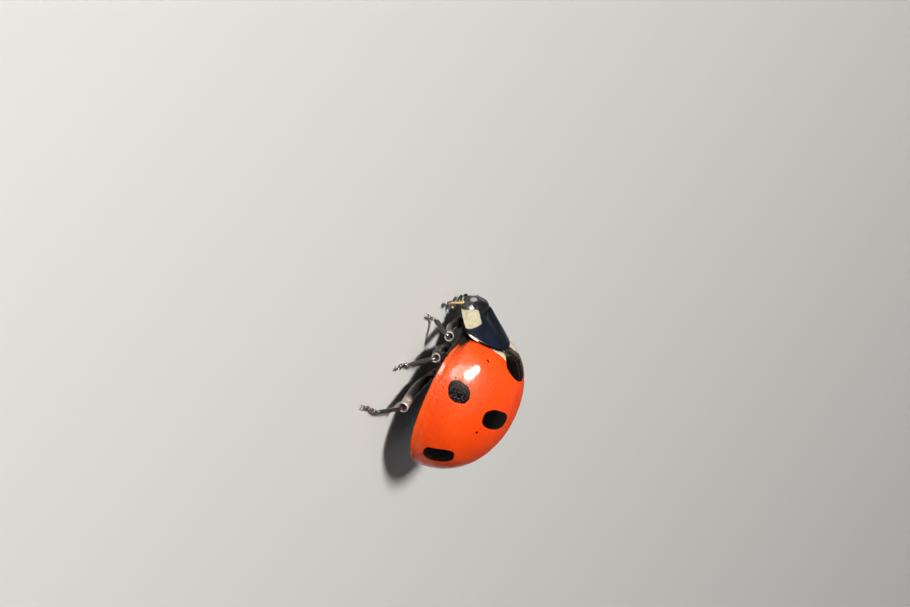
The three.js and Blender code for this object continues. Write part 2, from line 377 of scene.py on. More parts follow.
@dataclass(frozen=True)
class Blot:
    """A marking on both wing cases, by its middle and what its half sizes measure along."""

    middle: Triple
    along_long: Triple
    along_short: Triple
    power: float = 3.0
    bend: float = 0.10
    edge: float = 0.035
    ripple: float = 0.16

    def mask(self, shader: Shader, place: Value, noise: Value) -> Value:
        """Where the blot lies.

        Args:
            shader: the material.
            place: the point on the piece.
            noise: from 0 to 1, which makes the edge uneven.

        Returns:
            1 on the blot and 0 off it.
        """
        x, y, z = shader.split(place)
        offset = shader.vector("SUBTRACT", shader.join(abs(x), y, z), self.middle)
        long = shader.vector("DOT_PRODUCT", offset, self.along_long, output=1)
        short = shader.vector("DOT_PRODUCT", offset, self.along_short, output=1)
        short = short + long * long * self.bend
        reach = (abs(long) ** self.power + abs(short) ** self.power) ** (1 / self.power)
        reach = reach + (noise - 0.5) * self.ripple
        return reach.step(1 + self.edge, 1 - self.edge)


@dataclass(frozen=True)
class WingCaseFinish:
    """Glossy orange-red wing case with black spots, white base marks and fine punctures."""

    side: Side
    orange: Colour = (0.88, 0.058, 0.0012)
    edge_orange: Colour = (0.93, 0.096, 0.005)
    deep_red: Colour = (0.60, 0.026, 0.002)
    lining: Colour = (0.62, 0.16, 0.035)
    # The next colour is painted shade, brown-black on the hind margin.
    hind_margin_shade: Colour = (0.10, 0.02, 0.004)
    pit_shade_red: Colour = (0.42, 0.016, 0.001)
    black: Colour = (0.004, 0.0037, 0.004)
    soft_black: Colour = (0.008, 0.007, 0.007)
    ivory: Colour = (0.64, 0.59, 0.45)
    spots: tuple[Spot, ...] = (
        Spot(3.22, 1.75, 0.48, 0.425),
        Spot(1.20, 2.46, 0.70, 0.42, tilt=-0.10, power=2.6),
    )
    rear_spot: Blot = Blot((1.894, 2.593, 2.51), (-0.592, -0.404, 1.406), (-1.441, 1.813, -0.229))
    middle_spot: dict[Side, Spot] = field(default_factory=lambda: {
        Side.LEFT: Spot(0.0, 0.38, 0.90, 0.51, power=1.55),
        Side.RIGHT: Spot(0.0, 0.38, 1.10, 0.51, power=1.7),
    })
    base_patch: dict[Side, tuple[float, float]] = field(default_factory=lambda: {
        Side.LEFT: (0.60, 0.52), Side.RIGHT: (0.80, 0.78),
    })
    specks: tuple[tuple[float, float, float], ...] = (
        (3.45, 1.30, 0.055), (1.83, 3.13, 0.06), (1.86, 0.36, 0.05), (1.74, 0.52, 0.03),
    )
    pits_per_mm: float = 12.5
    pit_depth: float = 0.016
    wave_depth: float = 0.030
    grain_depth: float = 0.060

    def material(self) -> Material:
        """Makes the material.

        Returns:
            The finished material.
        """
        shader = Shader(
            f"wing_case_{self.side.word}",
            {
                "IOR": 1.45, "Coat Roughness": 0.12, "Coat IOR": 1.5, "Specular IOR Level": 0.16,
                "Specular Tint": (1.0, 0.75, 0.55, 1.0),
            },
        )
        place = shader.place()
        across, along, under = shader.split(shader.carried("shell"))
        margin, _, _ = shader.split(shader.carried("rim"))
        grain = shader.noise(place, 9.0, 4.0)
        wobble = shader.noise(place, 2.6, 4.0)

        # The base patch is a diamond that the neck shield partly covers.
        middle, reach = self.base_patch[self.side]
        patch = abs(across - middle) / reach + (along + 0.03) / 0.36 + (wobble - 0.5) * 0.3
        dark = self._dark(shader, place, across, along, wobble)
        tone = shader.mix(grain.step(0.4, 0.8) * 0.5, self.black, self.soft_black)
        paint = self._red(shader, place, across, along, margin, grain, wobble)
        paint = shader.mix(patch.step(1.08, 0.92), paint, self.ivory)
        paint = shader.mix(dark, paint, tone)
        paint = shader.mix(under.step(0.3, 0.7), paint, self.lining)

        # Fine punctures, slow waves, and a coarser grain on the margin's front half.
        pit = shader.cells(place, self.pits_per_mm).step(0.52, 0.20)
        # Painted shade: off the spots, the pits are tinted darker red.
        paint = shader.mix(pit * 0.10 * (1.0 - dark), paint, self.pit_shade_red)
        strength = 0.34 + along.step(3.4, 1.6) * 0.40
        height = ((1.0 - pit) * 0.7 + shader.noise(place, 11.0, 2.0) * 0.3) * strength
        normal = shader.relief(shader.noise(place, 1.6, 2.0), self.wave_depth)
        normal = shader.relief(height, self.pit_depth, normal)
        rough_band = margin.step(0.85, 0.25) * along.step(3.2, 1.8) * (1.0 - under)
        normal = shader.relief(shader.noise(place, 7.0, 2.0) * rough_band, self.grain_depth, normal)

        # The gloss is weaker on the hind margin and hardly there where the dark seam dips.
        veil = margin.step(0.7, 0.1) * along.step(1.9, 3.2)
        seam = across.step(0.30, 0.10) * dark
        roughness = 0.38 + grain * 0.12 + pit * 0.08 - dark * 0.20 - rough_band * 0.10
        coat = 0.48 + rough_band * 0.5 - under * 0.3 - dark * 0.27
        return shader.feed(
            Base_Color=paint, Roughness=roughness + seam * 0.40, Metallic=dark * 0.75,
            Coat_Weight=coat * (1.0 - veil * 0.6) * (1.0 - seam * 0.95), Normal=normal,
        )

    def _red(
        self, shader: Shader, place: Value, across: Value, along: Value, margin: Value,
        grain: Value, wobble: Value,
    ) -> Value:
        """The ground colour: lighter at the margin, with painted shade that turns it darker red behind and
        at the suture and brown-black on the hind margin.

        Args:
            shader: the material.
            place: the point on the piece.
            across: arc from the suture, in millimetres.
            along: length from the base, in millimetres.
            margin: arc from the margin, in millimetres.
            grain: fine noise.
            wobble: slow noise.

        Returns:
            The colour.
        """
        cloud = shader.noise(place, 0.9, 4.0)
        red = shader.mix(cloud.step(0.35, 0.7) * 0.35, self.orange, self.edge_orange)
        red = shader.mix(margin.step(0.55, 0.05) * 0.65, red, self.edge_orange)
        # Painted shade: darker red towards the hind end.
        red = shader.mix(along.step(4.3, 5.7) * 0.6, red, self.deep_red)
        red = shader.mix(grain.step(0.58, 0.8) * 0.22, red, self.deep_red)
        # Painted shade: darker red in the seam along the suture.
        red = shader.mix(across.step(0.07, 0.0) * 0.7, red, self.deep_red)
        # Painted shade: brown-black over the hind margin, broken up by slow noise.
        hind_shade_mask = along.step(4.55, 5.35) * margin.step(0.35, 0.02) * wobble.step(0.4, 0.6)
        return shader.mix(hind_shade_mask * 0.6, red, self.hind_margin_shade)

    def _dark(
        self, shader: Shader, place: Value, across: Value, along: Value, wobble: Value
    ) -> Value:
        """Where the wing case is black: its spots and, on the left, a few tiny pits.

        Args:
            shader: the material.
            place: the point on the piece.
            across: arc from the suture, in millimetres.
            along: length from the base, in millimetres.
            wobble: slow noise.

        Returns:
            1 where it is black and 0 elsewhere.
        """
        dark = self.rear_spot.mask(shader, place, wobble)
        for spot in (*self.spots, self.middle_spot[self.side]):
            dark = dark.most(spot.mask(across, along, wobble))
        for u, v, radius in self.specks if self.side is Side.LEFT else ():
            offset = ((across - u) ** 2.0 + (along - v) ** 2.0) ** 0.5
            dark = dark.most(offset.step(radius * 1.15, radius * 0.7))
        return dark


@dataclass(frozen=True)
class ShieldFinish:
    """Black neck shield with a painted blue reflection over its back and a white patch in each front
    corner.
    """

    black: Colour = (0.005, 0.0065, 0.011)
    # The next colour is a painted blue reflection.
    blue: Colour = (0.009, 0.015, 0.034)
    ivory: Colour = (0.53, 0.485, 0.35)
    cream: Colour = (0.44, 0.39, 0.26)
    underside: Colour = (0.006, 0.005, 0.005)

    def material(self) -> Material:
        """Makes the material.

        Returns:
            The finished material.
        """
        shader = Shader(
            "neck_shield",
            {"IOR": 1.45, "Coat Roughness": 0.2, "Coat IOR": 1.35, "Specular IOR Level": 0.08},
        )
        place = shader.place()
        forward, turn, under = shader.split(shader.carried("shell"))
        cloud = shader.noise(place, 1.4, 3.0)
        wobble = (shader.noise(place, 3.0, 3.0) - 0.5) * 0.07
        # Painted reflection: blue over much of the back of the shield, broken up by slow noise.
        gloss = (turn - 0.38).step(-0.34, 0.10) * (turn - 0.80).step(0.14, -0.06)
        sheen = shader.mix(gloss * cloud.step(0.25, 0.60), self.black, self.blue)
        # The patch is bounded by two lines over the shield: its inner and its hind side.
        inner = (turn - 0.475 - (1.0 - forward) * 0.16 + wobble).step(-0.010, 0.010)
        hind = (forward - 0.30 - ((1.0 - turn) * 0.95) ** 1.25 + wobble).step(-0.02, 0.02)
        patch = inner * hind
        shade = shader.mix(shader.noise(place, 5.0, 3.0).step(0.4, 0.75), self.ivory, self.cream)
        pale = shader.mix((turn - 0.53).step(0.25, 0.0) * 0.25, shade, self.cream)
        paint = shader.mix(patch, sheen, pale)
        paint = shader.mix(under.step(0.3, 0.7) * (1.0 - patch), paint, self.underside)
        pores = shader.cells(place, 14.0).step(0.32, 0.08)
        mesh = shader.cells(place, 42.0)
        normal = shader.relief(1.0 - pores, 0.0030)
        normal = shader.relief(mesh, 0.0012, normal)
        roughness = 0.30 + patch * 0.10 + cloud * 0.08
        coat = 0.34 - patch * 0.1
        return shader.feed(Base_Color=paint, Roughness=roughness, Coat_Weight=coat, Normal=normal)


@dataclass(frozen=True)
class CuticleFinish:
    """Black, finely punctured cuticle."""

    name: str
    black: Colour = (0.006, 0.0058, 0.0065)
    brown: Colour = (0.022, 0.013, 0.008)
    roughness: float = 0.34
    coat: float = 0.35
    pores_per_mm: float = 11.0
    pore_depth: float = 0.006

    def material(self) -> Material:
        """Makes the material.

        Returns:
            The finished material.
        """
        shader = Shader(
            self.name,
            {"IOR": 1.45, "Coat Roughness": 0.2, "Coat IOR": 1.45, "Specular IOR Level": 0.25},
        )
        place = shader.place()
        cloud = shader.noise(place, 2.2, 4.0)
        paint = shader.mix(cloud.step(0.45, 0.75), self.black, self.brown)
        pores = shader.cells(place, self.pores_per_mm).step(0.35, 0.08)
        mesh = shader.cells(place, 45.0)
        normal = shader.relief(1.0 - pores, self.pore_depth)
        normal = shader.relief(mesh, 0.0015, normal)
        roughness = self.roughness + cloud * 0.12 + pores * 0.1
        coat = self.coat * (1.0 - pores * 0.6)
        return shader.feed(Base_Color=paint, Roughness=roughness, Coat_Weight=coat, Normal=normal)


@dataclass(frozen=True)
class HeadFinish:
    """Black head with a small pale grey mark beside each eye."""

    mark_x: float
    mark_z: float
    black: Colour = (0.006, 0.007, 0.010)
    brown: Colour = (0.016, 0.012, 0.012)
    pale: Colour = (0.33, 0.34, 0.37)
    half_width: float = 0.15
    half_height: float = 0.14

    def material(self) -> Material:
        """Makes the material.

        Returns:
            The finished material.
        """
        shader = Shader(
            "head_capsule",
            {"IOR": 1.45, "Coat Roughness": 0.14, "Coat IOR": 1.45, "Specular IOR Level": 0.25},
        )
        place = shader.place()
        x, _, z = shader.split(place)
        _, _, facing = shader.split(shader.carried("shell"))
        ripple = (shader.noise(place, 6.0, 3.0) - 0.5) * 1.3
        wide = ((abs(x) - self.mark_x) / self.half_width) ** 2.0
        high = ((z - self.mark_z) / self.half_height) ** 2.0
        mark = ((wide + high) ** 0.5 + ripple).step(1.25, 0.75) * facing.step(0.4, 0.6)
        cloud = shader.noise(place, 3.0, 3.0)
        base = shader.mix(cloud.step(0.5, 0.8), self.black, self.brown)
        paint = shader.mix(mark, base, self.pale)
        pores = shader.cells(place, 15.0).step(0.32, 0.08)
        normal = shader.relief(1.0 - pores, 0.004)
        normal = shader.relief(shader.cells(place, 50.0), 0.0012, normal)
        roughness = 0.30 + cloud * 0.1 + pores * 0.08
        coat = 0.5 - pores * 0.25
        return shader.feed(Base_Color=paint, Roughness=roughness, Coat_Weight=coat, Normal=normal)


@dataclass(frozen=True)
class IvoryFinish:
    """White, faintly grained corner plate with a brown edge."""

    centre: Triple
    reach: float = 0.27
    ivory: Colour = (0.92, 0.87, 0.72)
    cream: Colour = (0.78, 0.69, 0.48)
    rim_brown: Colour = (0.10, 0.05, 0.025)

    def material(self) -> Material:
        """Makes the material.

        Returns:
            The finished material.
        """
        shader = Shader("ivory_plate", {"IOR": 1.5, "Coat Roughness": 0.15, "Coat IOR": 1.5})
        place = shader.place()
        x, y, _ = shader.split(place)
        grain = shader.noise(place, 7.0, 4.0)
        away = ((abs(x) - self.centre[0]) ** 2.0 + (y - self.centre[1]) ** 2.0) ** 0.5
        rim = (away / self.reach + (grain - 0.5) * 0.3).step(0.85, 1.1)
        paint = shader.mix(grain.step(0.35, 0.75), self.ivory, self.cream)
        paint = shader.mix(rim, paint, self.rim_brown)
        normal = shader.relief(shader.cells(place, 16.0).step(0.3, 0.1), -0.003)
        return shader.feed(
            Base_Color=paint, Roughness=0.34 + grain * 0.12, Coat_Weight=0.5 - rim * 0.2,
            Normal=normal,
        )


@dataclass(frozen=True)
class EyeFinish:
    """Black, wet-looking compound eye with brown clouds painted on as a reflection."""

    black: Colour = (0.008, 0.009, 0.012)
    brown: Colour = (0.045, 0.034, 0.026)

    def material(self) -> Material:
        """Makes the material.

        Returns:
            The finished material.
        """
        shader = Shader(
            "compound_eye",
            {"IOR": 1.55, "Coat Roughness": 0.06, "Coat IOR": 1.5, "Coat Weight": 0.7},
        )
        place = shader.place()
        cloud = shader.noise(place, 3.5, 3.0)
        # Painted reflection: brown clouds in the black.
        paint = shader.mix(cloud.step(0.4, 0.7), self.black, self.brown)
        fine = shader.noise(place, 60.0, 2.0)
        return shader.feed(
            Base_Color=paint, Roughness=0.18 + cloud * 0.12, Normal=shader.relief(fine, 0.0006)
        )


@dataclass(frozen=True)
class FeelerFinish:
    """Honey-brown feelers that darken to a smoky club; the points carry how dark each joint is."""

    name: str = "feeler"
    honey: Colour = (0.40, 0.27, 0.055)
    umber: Colour = (0.13, 0.075, 0.020)
    soot: Colour = (0.030, 0.020, 0.010)

    def material(self) -> Material:
        """Makes the material.

        Returns:
            The finished material.
        """
        shader = Shader(self.name, {"IOR": 1.5, "Coat Roughness": 0.2, "Coat IOR": 1.5})
        place = shader.place()
        darkness, _, _ = shader.split(shader.carried("tone"))
        cloud = shader.noise(place, 8.0, 3.0)
        paint = shader.mix(darkness.step(0.0, 0.55), self.honey, self.umber)
        paint = shader.mix(darkness.step(0.5, 1.0), paint, self.soot)
        paint = shader.mix(cloud.step(0.45, 0.8) * 0.5, paint, self.umber)
        normal = shader.relief(shader.cells(place, 34.0).step(0.4, 0.1), -0.0018)
        return shader.feed(
            Base_Color=paint, Roughness=0.26 + cloud * 0.15, Coat_Weight=0.4 + cloud * 0.3,
            Normal=normal,
        )


@dataclass(frozen=True)
class LegFinish:
    """Shining black leg whose joints pass into translucent rust and horn, colours that the points'
    paleness also uses for painted glints and a painted reflection.
    """

    name: str
    black: Colour = (0.008, 0.0072, 0.0068)
    rust: Colour = (0.16, 0.095, 0.075)
    horn: Colour = (0.66, 0.56, 0.49)

    def material(self) -> Material:
        """Makes the material.

        Returns:
            The finished material.
        """
        shader = Shader(
            self.name,
            {"IOR": 1.5, "Coat Roughness": 0.12, "Coat IOR": 1.55, "Specular IOR Level": 0.4},
        )
        place = shader.place()
        paleness, _, _ = shader.split(shader.carried("tone"))
        cloud = shader.noise(place, 6.0, 4.0)
        speckle = shader.noise(place, 15.0, 3.0)
        # The carried paleness holds the joints' own colour, the painted glints on thigh ends, knee rims
        # and feet, and the painted reflection on the shins.
        pale_and_glint = paleness + (cloud - 0.5) * 0.35 + (speckle - 0.5) * 0.55
        paint = shader.mix(pale_and_glint.step(0.15, 0.55), self.black, self.rust)
        paint = shader.mix(pale_and_glint.step(0.6, 0.95), paint, self.horn)
        pores = shader.cells(place, 20.0).step(0.36, 0.1)
        normal = shader.relief(1.0 - pores, 0.007)
        normal = shader.relief(shader.noise(place, 12.0, 3.0), 0.010, normal)
        roughness = 0.24 + cloud * 0.14
        coat = 0.8 + paleness.step(0.2, 0.8) * 0.2 - pores * 0.3
        return shader.feed(Base_Color=paint, Roughness=roughness, Coat_Weight=coat, Normal=normal)


@dataclass(frozen=True)
class HairFinish:
    """Pale, silky hair."""

    name: str
    root: Colour = (0.20, 0.155, 0.10)
    tip: Colour = (0.66, 0.60, 0.48)

    def material(self) -> Material:
        """Makes the material.

        Returns:
            The finished material.
        """
        shader = Shader(self.name, {"IOR": 1.5, "Coat Weight": 0.2, "Coat Roughness": 0.3})
        place = shader.place()
        rise, _, _ = shader.split(shader.carried("rise"))
        cloud = shader.noise(place, 5.0, 2.0)
        paint = shader.mix(rise.step(0.0, 0.7), self.root, self.tip)
        paint = shader.mix(cloud.step(0.45, 0.75) * 0.6, paint, self.root)
        return shader.feed(Base_Color=paint, Roughness=0.36 + cloud * 0.16)


@dataclass(frozen=True)
class FloorFinish:
    """Plain pale studio floor."""

    pale: Colour = (0.70, 0.70, 0.69)
    shade: Colour = (0.66, 0.66, 0.65)

    def material(self) -> Material:
        """Makes the material.

        Returns:
            The finished material.
        """
        shader = Shader("studio_floor", {"Roughness": 1.0, "Specular IOR Level": 0.0})
        cloud = shader.noise(shader.place(), 0.02, 2.0)
        return shader.feed(Base_Color=shader.mix(cloud * 0.3, self.pale, self.shade))


# ---------------------------------------------------------------- shapes


def smooth(low: float, high: float, t: np.ndarray) -> np.ndarray:
    """A smooth rise from 0 at low to 1 at high."""
    share = np.clip((t - low) / (high - low), 0.0, 1.0)
    return share * share * (3 - 2 * share)


def hump(t: np.ndarray, centre: float, spread: float) -> np.ndarray:
    """A bell of height 1 over centre."""
    return np.exp(-(((t - centre) / spread) ** 2))


def unit(vectors: np.ndarray) -> np.ndarray:
    """Vectors of length 1 along the given ones."""
    vectors = np.asarray(vectors, float)
    return vectors / np.maximum(np.linalg.norm(vectors, axis=-1, keepdims=True), 1e-12)


def through(places: Sequence[Sequence[float]], count: int) -> np.ndarray:
    """Points evenly spread over a smooth curve through the given places.

    Args:
        places: two or more places.
        count: how many points.

    Returns:
        The points, one a row.
    """
    knots = np.asarray(places, float)
    ends = np.vstack([2 * knots[0] - knots[1], knots, 2 * knots[-1] - knots[-2]])
    rows = []
    for i in range(1, len(ends) - 2):
        p0, p1, p2, p3 = ends[i - 1 : i + 3]
        t = np.linspace(0, 1, 24, endpoint=i == len(ends) - 3)[:, None]
        rows.append(
            0.5 * (2 * p1 + (p2 - p0) * t + (2 * p0 - 5 * p1 + 4 * p2 - p3) * t ** 2
                   + (3 * p1 - p0 - 3 * p2 + p3) * t ** 3)
        )
    fine = np.vstack(rows)
    lengths = np.concatenate([[0], np.cumsum(np.linalg.norm(np.diff(fine, axis=0), axis=1))])
    wanted = np.linspace(0, lengths[-1], count)
    return np.stack([np.interp(wanted, lengths, fine[:, k]) for k in range(3)], axis=1)


def profile(stops: Sequence[tuple[float, float]], t: np.ndarray) -> np.ndarray:
    """A smooth line through stops.

    Args:
        stops: places with the sizes there.
        t: where the line is read.

    Returns:
        The sizes at t.
    """
    places, sizes = np.array(stops, float).T
    share = np.interp(t, places, np.arange(len(places)))
    low = np.minimum(share.astype(int), len(places) - 2)
    part = share - low
    part = part * part * (3 - 2 * part)
    return sizes[low] * (1 - part) + sizes[low + 1] * part


def sweep(
    path: np.ndarray, wide: np.ndarray, high: np.ndarray, up: Sequence[float], sides: int,
    power: float = 2.0,
) -> np.ndarray:
    """Rings along a path.

    Args:
        path: the rings' middles.
        wide: each ring's half width, across the up direction.
        high: each ring's half height.
        up: the direction that the height is measured in.
        sides: corners of each ring.
        power: of the superellipse that each ring is.

    Returns:
        The corners, by ring and place around it.
    """
    along = unit(np.gradient(path, axis=0))
    across = unit(np.cross(along, np.asarray(up, float)))
    rise = unit(np.cross(across, along))
    angle = np.linspace(0, 2 * math.pi, sides, endpoint=False)
    cos = signed_power(np.cos(angle), 2 / power)
    sin = signed_power(np.sin(angle), 2 / power)
    return (
        path[:, None] + across[:, None] * (wide[:, None] * cos)[..., None]
        + rise[:, None] * (high[:, None] * sin)[..., None]
    )


def between(first: Any, second: Any, share: np.ndarray) -> np.ndarray:
    """What lies a share of the way from first to second."""
    return first + (second - first) * share


def along_line(line: np.ndarray, shares: np.ndarray) -> np.ndarray:
    """Points at shares of the length of an evenly spaced line."""
    places = np.linspace(0, 1, len(line))
    return np.stack([np.interp(shares, places, line[:, k]) for k in range(3)], 1)


def arcs_across(grid: np.ndarray) -> np.ndarray:
    """The arc along each row of a grid, from its first point."""
    steps = np.linalg.norm(np.diff(grid, axis=1), axis=2)
    return np.concatenate([np.zeros((len(grid), 1)), np.cumsum(steps, axis=1)], axis=1)


def signed_power(base: np.ndarray, power: float) -> np.ndarray:
    """The size of base to a power, with the sign of base."""
    return np.sign(base) * np.abs(base) ** power


def wrapped(grid: np.ndarray) -> np.ndarray:
    """A grid that ends with its first column once more."""
    return np.concatenate([grid, grid[:, :1]], axis=1)


def ended(rings: np.ndarray, path: np.ndarray) -> np.ndarray:
    """Rings closed on the first and the last point of their path."""
    poles = np.repeat(path[[0, -1]][:, None], rings.shape[1], axis=1)
    return np.concatenate([poles[:1], rings, poles[1:]], axis=0)


def capped(rings: np.ndarray) -> np.ndarray:
    """Rings with the first and the last closed on their middles."""
    cap = np.repeat(rings.mean(axis=1, keepdims=True), rings.shape[1], axis=1)
    return np.concatenate([cap[:1], rings, cap[-1:]], axis=0)


def normals_of(grid: np.ndarray, outward: np.ndarray) -> np.ndarray:
    """Unit normals of a surface.

    Args:
        grid: its points by row and column.
        outward: a vector at each point that leaves the surface on the outer side.

    Returns:
        The normals.
    """
    down = np.gradient(grid, axis=0)
    right = np.gradient(grid, axis=1)
    normal = unit(np.cross(down, right))
    return normal * np.where((normal * outward).sum(-1, keepdims=True) < 0, -1.0, 1.0)


def placed(name: str, data: Any) -> Object:
    """A new object with the given data, put into the scene.

    Args:
        name: the object's name.
        data: its mesh, light or camera.

    Returns:
        The object.
    """
    made = bpy.data.objects.new(name, data)
    bpy.context.scene.collection.objects.link(made)
    return made


class Form:
    """A mesh in the making, in millimetres of the animal's frame."""

    def __init__(self) -> None:
        """Starts with nothing."""
        self.points: list[np.ndarray] = []
        self.faces: list[tuple[int, ...]] = []
        self.values: dict[str, list[np.ndarray]] = {}
        self.count = 0

    def grid(self, points: np.ndarray, closed: bool = True, **values: np.ndarray) -> "Form":
        """Adds a grid of points as quads.

        Args:
            points: by row and column.
            closed: whether the last column joins the first.
            values: vectors or numbers that the points carry.

        Returns:
            The form itself.
        """
        rows, columns = points.shape[:2]
        index = self.count + np.arange(rows * columns).reshape(rows, columns)
        after = np.roll(index, -1, axis=1) if closed else index[:, 1:]
        before = index if closed else index[:, :-1]
        quads = np.stack([before[:-1], after[:-1], after[1:], before[1:]], axis=-1)
        self.faces.extend(map(tuple, quads.reshape(-1, 4).tolist()))
        self.points.append(points.reshape(-1, 3))
        for name, content in values.items():
            content = np.asarray(content, float)
            flat = np.zeros((rows * columns, 3))
            full = np.broadcast_to(
                content[..., None] if content.ndim < 3 else content,
                (rows, columns, content.shape[-1] if content.ndim == 3 else 1),
            ).reshape(rows * columns, -1)
            flat[:, : full.shape[1]] = full
            missing = self.count - sum(len(a) for a in self.values.get(name, []))
            self.values.setdefault(name, []).append(np.vstack([np.zeros((missing, 3)), flat]))
        self.count += rows * columns
        return self

    def mirrored(self, side: Side) -> "Form":
        """Turns a form that was drawn on the left to a side.

        Args:
            side: the side that it is for.

        Returns:
            The form itself.
        """
        if side is Side.RIGHT:
            self.points = [p * (-1, 1, 1) for p in self.points]
        return self

    def make(
        self, name: str, material: Optional[Material] = None
    ) -> Object:
        """Makes the object, with shared corners merged and faces outward.

        Args:
            name: the object's name.
            material: its material; a form without one only carries hair and isn't merged.

        Returns:
            The object, at the origin of the frame.
        """
        mesh = bpy.data.meshes.new(name)
        points = (np.vstack(self.points) + (0, ORIGIN_Y, 0)) * MM
        mesh.from_pydata(points.tolist(), [], self.faces)
        for key, parts in self.values.items():
            flat = np.vstack(parts)
            flat = np.vstack([flat, np.zeros((self.count - len(flat), 3))])
            layer = mesh.attributes.new(key, "FLOAT_VECTOR", "POINT")
            layer.data.foreach_set("vector", flat.ravel())
        if material:
            work = bmesh.new()
            work.from_mesh(mesh)
            bmesh.ops.remove_doubles(work, verts=work.verts, dist=2e-4 * MM)
            bmesh.ops.dissolve_degenerate(work, edges=work.edges, dist=1e-5 * MM)
            bmesh.ops.recalc_face_normals(work, faces=work.faces)
            work.to_mesh(mesh)
            work.free()
            mesh.polygons.foreach_set("use_smooth", [True] * len(mesh.polygons))
            mesh.materials.append(material)
        return placed(name, mesh)


@dataclass(frozen=True)
class Dome:
    """The outer surface of the closed wing cases, as the CAD part draws it."""

    length: float = 5.83
    half_width: float = 2.85
    height: float = 2.83
    base_half_width: float = 1.41
    base_height: float = 1.52
    widest_at: float = 0.46
    highest_at: float = 0.40
    side_fullness: float = 2.18
    side_end: float = 2.0
    back_fullness: float = 2.11
    back_end: float = 2.04
    section_power: float = 1.98
    base_bow: float = -0.16
    margin: float = 1.37

    @staticmethod
    def _rise(t: np.ndarray) -> np.ndarray:
        """A quarter circle that falls from 1 at 0 to 0 at 1."""
        return np.sqrt(np.clip(1 - np.clip(t, 0, 1) ** 2, 0, 1))

    @staticmethod
    def _fall(t: np.ndarray, fullness: float, end: float) -> np.ndarray:
        """A superellipse that falls from 1 at 0 to 0 at 1."""
        return np.clip(1 - np.clip(t, 0, 1) ** fullness, 0, 1) ** (1 / end)

    def outline(
        self, share: np.ndarray, inset: float = 0.0
    ) -> tuple[np.ndarray, np.ndarray, np.ndarray]:
        """Half width, crest height and y at a share of the length.

        Args:
            share: of the length, from the base.
            inset: how far inside the outer surface.

        Returns:
            Half width, height of the crest above the margin, and y.
        """
        half, dome = self.half_width - inset, self.height - inset
        base, base_dome = self.base_half_width - inset * 0.6, self.base_height - inset * 0.9
        behind = (share - self.widest_at) / (1 - self.widest_at)
        side = np.where(
            share < self.widest_at,
            base + (half - base) * self._rise(1 - share / self.widest_at),
            half * self._fall(behind, self.side_fullness, self.side_end),
        )
        behind = (share - self.highest_at) / (1 - self.highest_at)
        crest = np.where(
            share < self.highest_at,
            base_dome + (dome - base_dome) * self._rise(1 - share / self.highest_at),
            dome * self._fall(behind, self.back_fullness, self.back_end),
        )
        return side, crest, share * (self.length - inset)

    def point(self, share: np.ndarray, turn: np.ndarray, inset: float = 0.0) -> np.ndarray:
        """Points over the back.

        Args:
            share: of the length.
            turn: from 0 at the middle to 90 degrees, in radians, at the left margin.
            inset: how far inside the outer surface.

        Returns:
            The points.
        """
        side, crest, y = self.outline(share, inset)
        across = np.abs(np.sin(turn)) ** (2 / self.section_power)
        bow = (1 - share) ** 3 * self.base_bow * across ** 2
        x = np.sign(turn) * side * across
        z = self.margin + crest * np.abs(np.cos(turn)) ** (2 / self.section_power)
        return np.stack(np.broadcast_arrays(x, y + bow, z), axis=-1)


DOME = Dome()
ORIGIN_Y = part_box("elytron_left")[1].y / MM - DOME.length


@dataclass
class Builder:
    """What every sub-assembly does with its pieces."""

    def settle(
        self, piece: Object, slot: Slot, *nodes: str
    ) -> Object:
        """Fixes a finished piece to the body.

        Args:
            piece: the finished piece.
            slot: the record's slot for the piece's finish; not used.
            nodes: the CAD nodes that it stands for.

        Returns:
            The piece.
        """
        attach(piece, BODY)
        if nodes:
            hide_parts(*nodes)
        LOG.info("%s: %d faces", piece.name, len(piece.data.polygons))
        return piece


@dataclass
class Coat:
    """Hair on the pieces of one sub-assembly: bare skins that carry its lie, cover and place.

    Each skin has a tile of its own on one square, on which a hair's root has its place.
    """

    tiles: tuple[int, int] = (1, 1)
    tile_margin: float = 0.03
    form: Form = field(default_factory=Form)
    used: int = 0

    def skin(self, grid: np.ndarray, lie: np.ndarray, cover: np.ndarray) -> None:
        """Adds a skin.

        Args:
            grid: points by row and column, not joined round, seen from outside.
            lie: the direction in which its hair lies, for each point.
            cover: how dense the hair is at each point, from 0 to 1.
        """
        rows, columns = grid.shape[:2]
        corner = np.array(divmod(self.used, self.tiles[1]), float)
        self.used += 1
        low, high = self.tile_margin, 1 - self.tile_margin
        spans = (np.linspace(low, high, count) for count in (rows, columns))
        place = np.stack(np.meshgrid(*spans, indexing="ij"), axis=-1)
        place = (place + corner) / np.array(self.tiles)
        lie = np.broadcast_to(lie, grid.shape)
        cover = np.broadcast_to(cover, (rows, columns))[..., None]
        self.form.grid(grid, False, root_uv=place, lie=lie, cover=cover)

    def limb(self, rings: np.ndarray, cover: np.ndarray, along: float = 1.0) -> None:
        """Adds the skin of a limb, given by its rings.

        Args:
            rings: corners by ring and place around it.
            cover: how dense the hair is on each ring.
            along: how strongly the hair lies towards the limb's end.
        """
        middles = rings.mean(axis=1)
        lie = unit(np.gradient(middles, axis=0))[:, None] * along
        self.skin(wrapped(rings), lie, np.asarray(cover)[:, None])


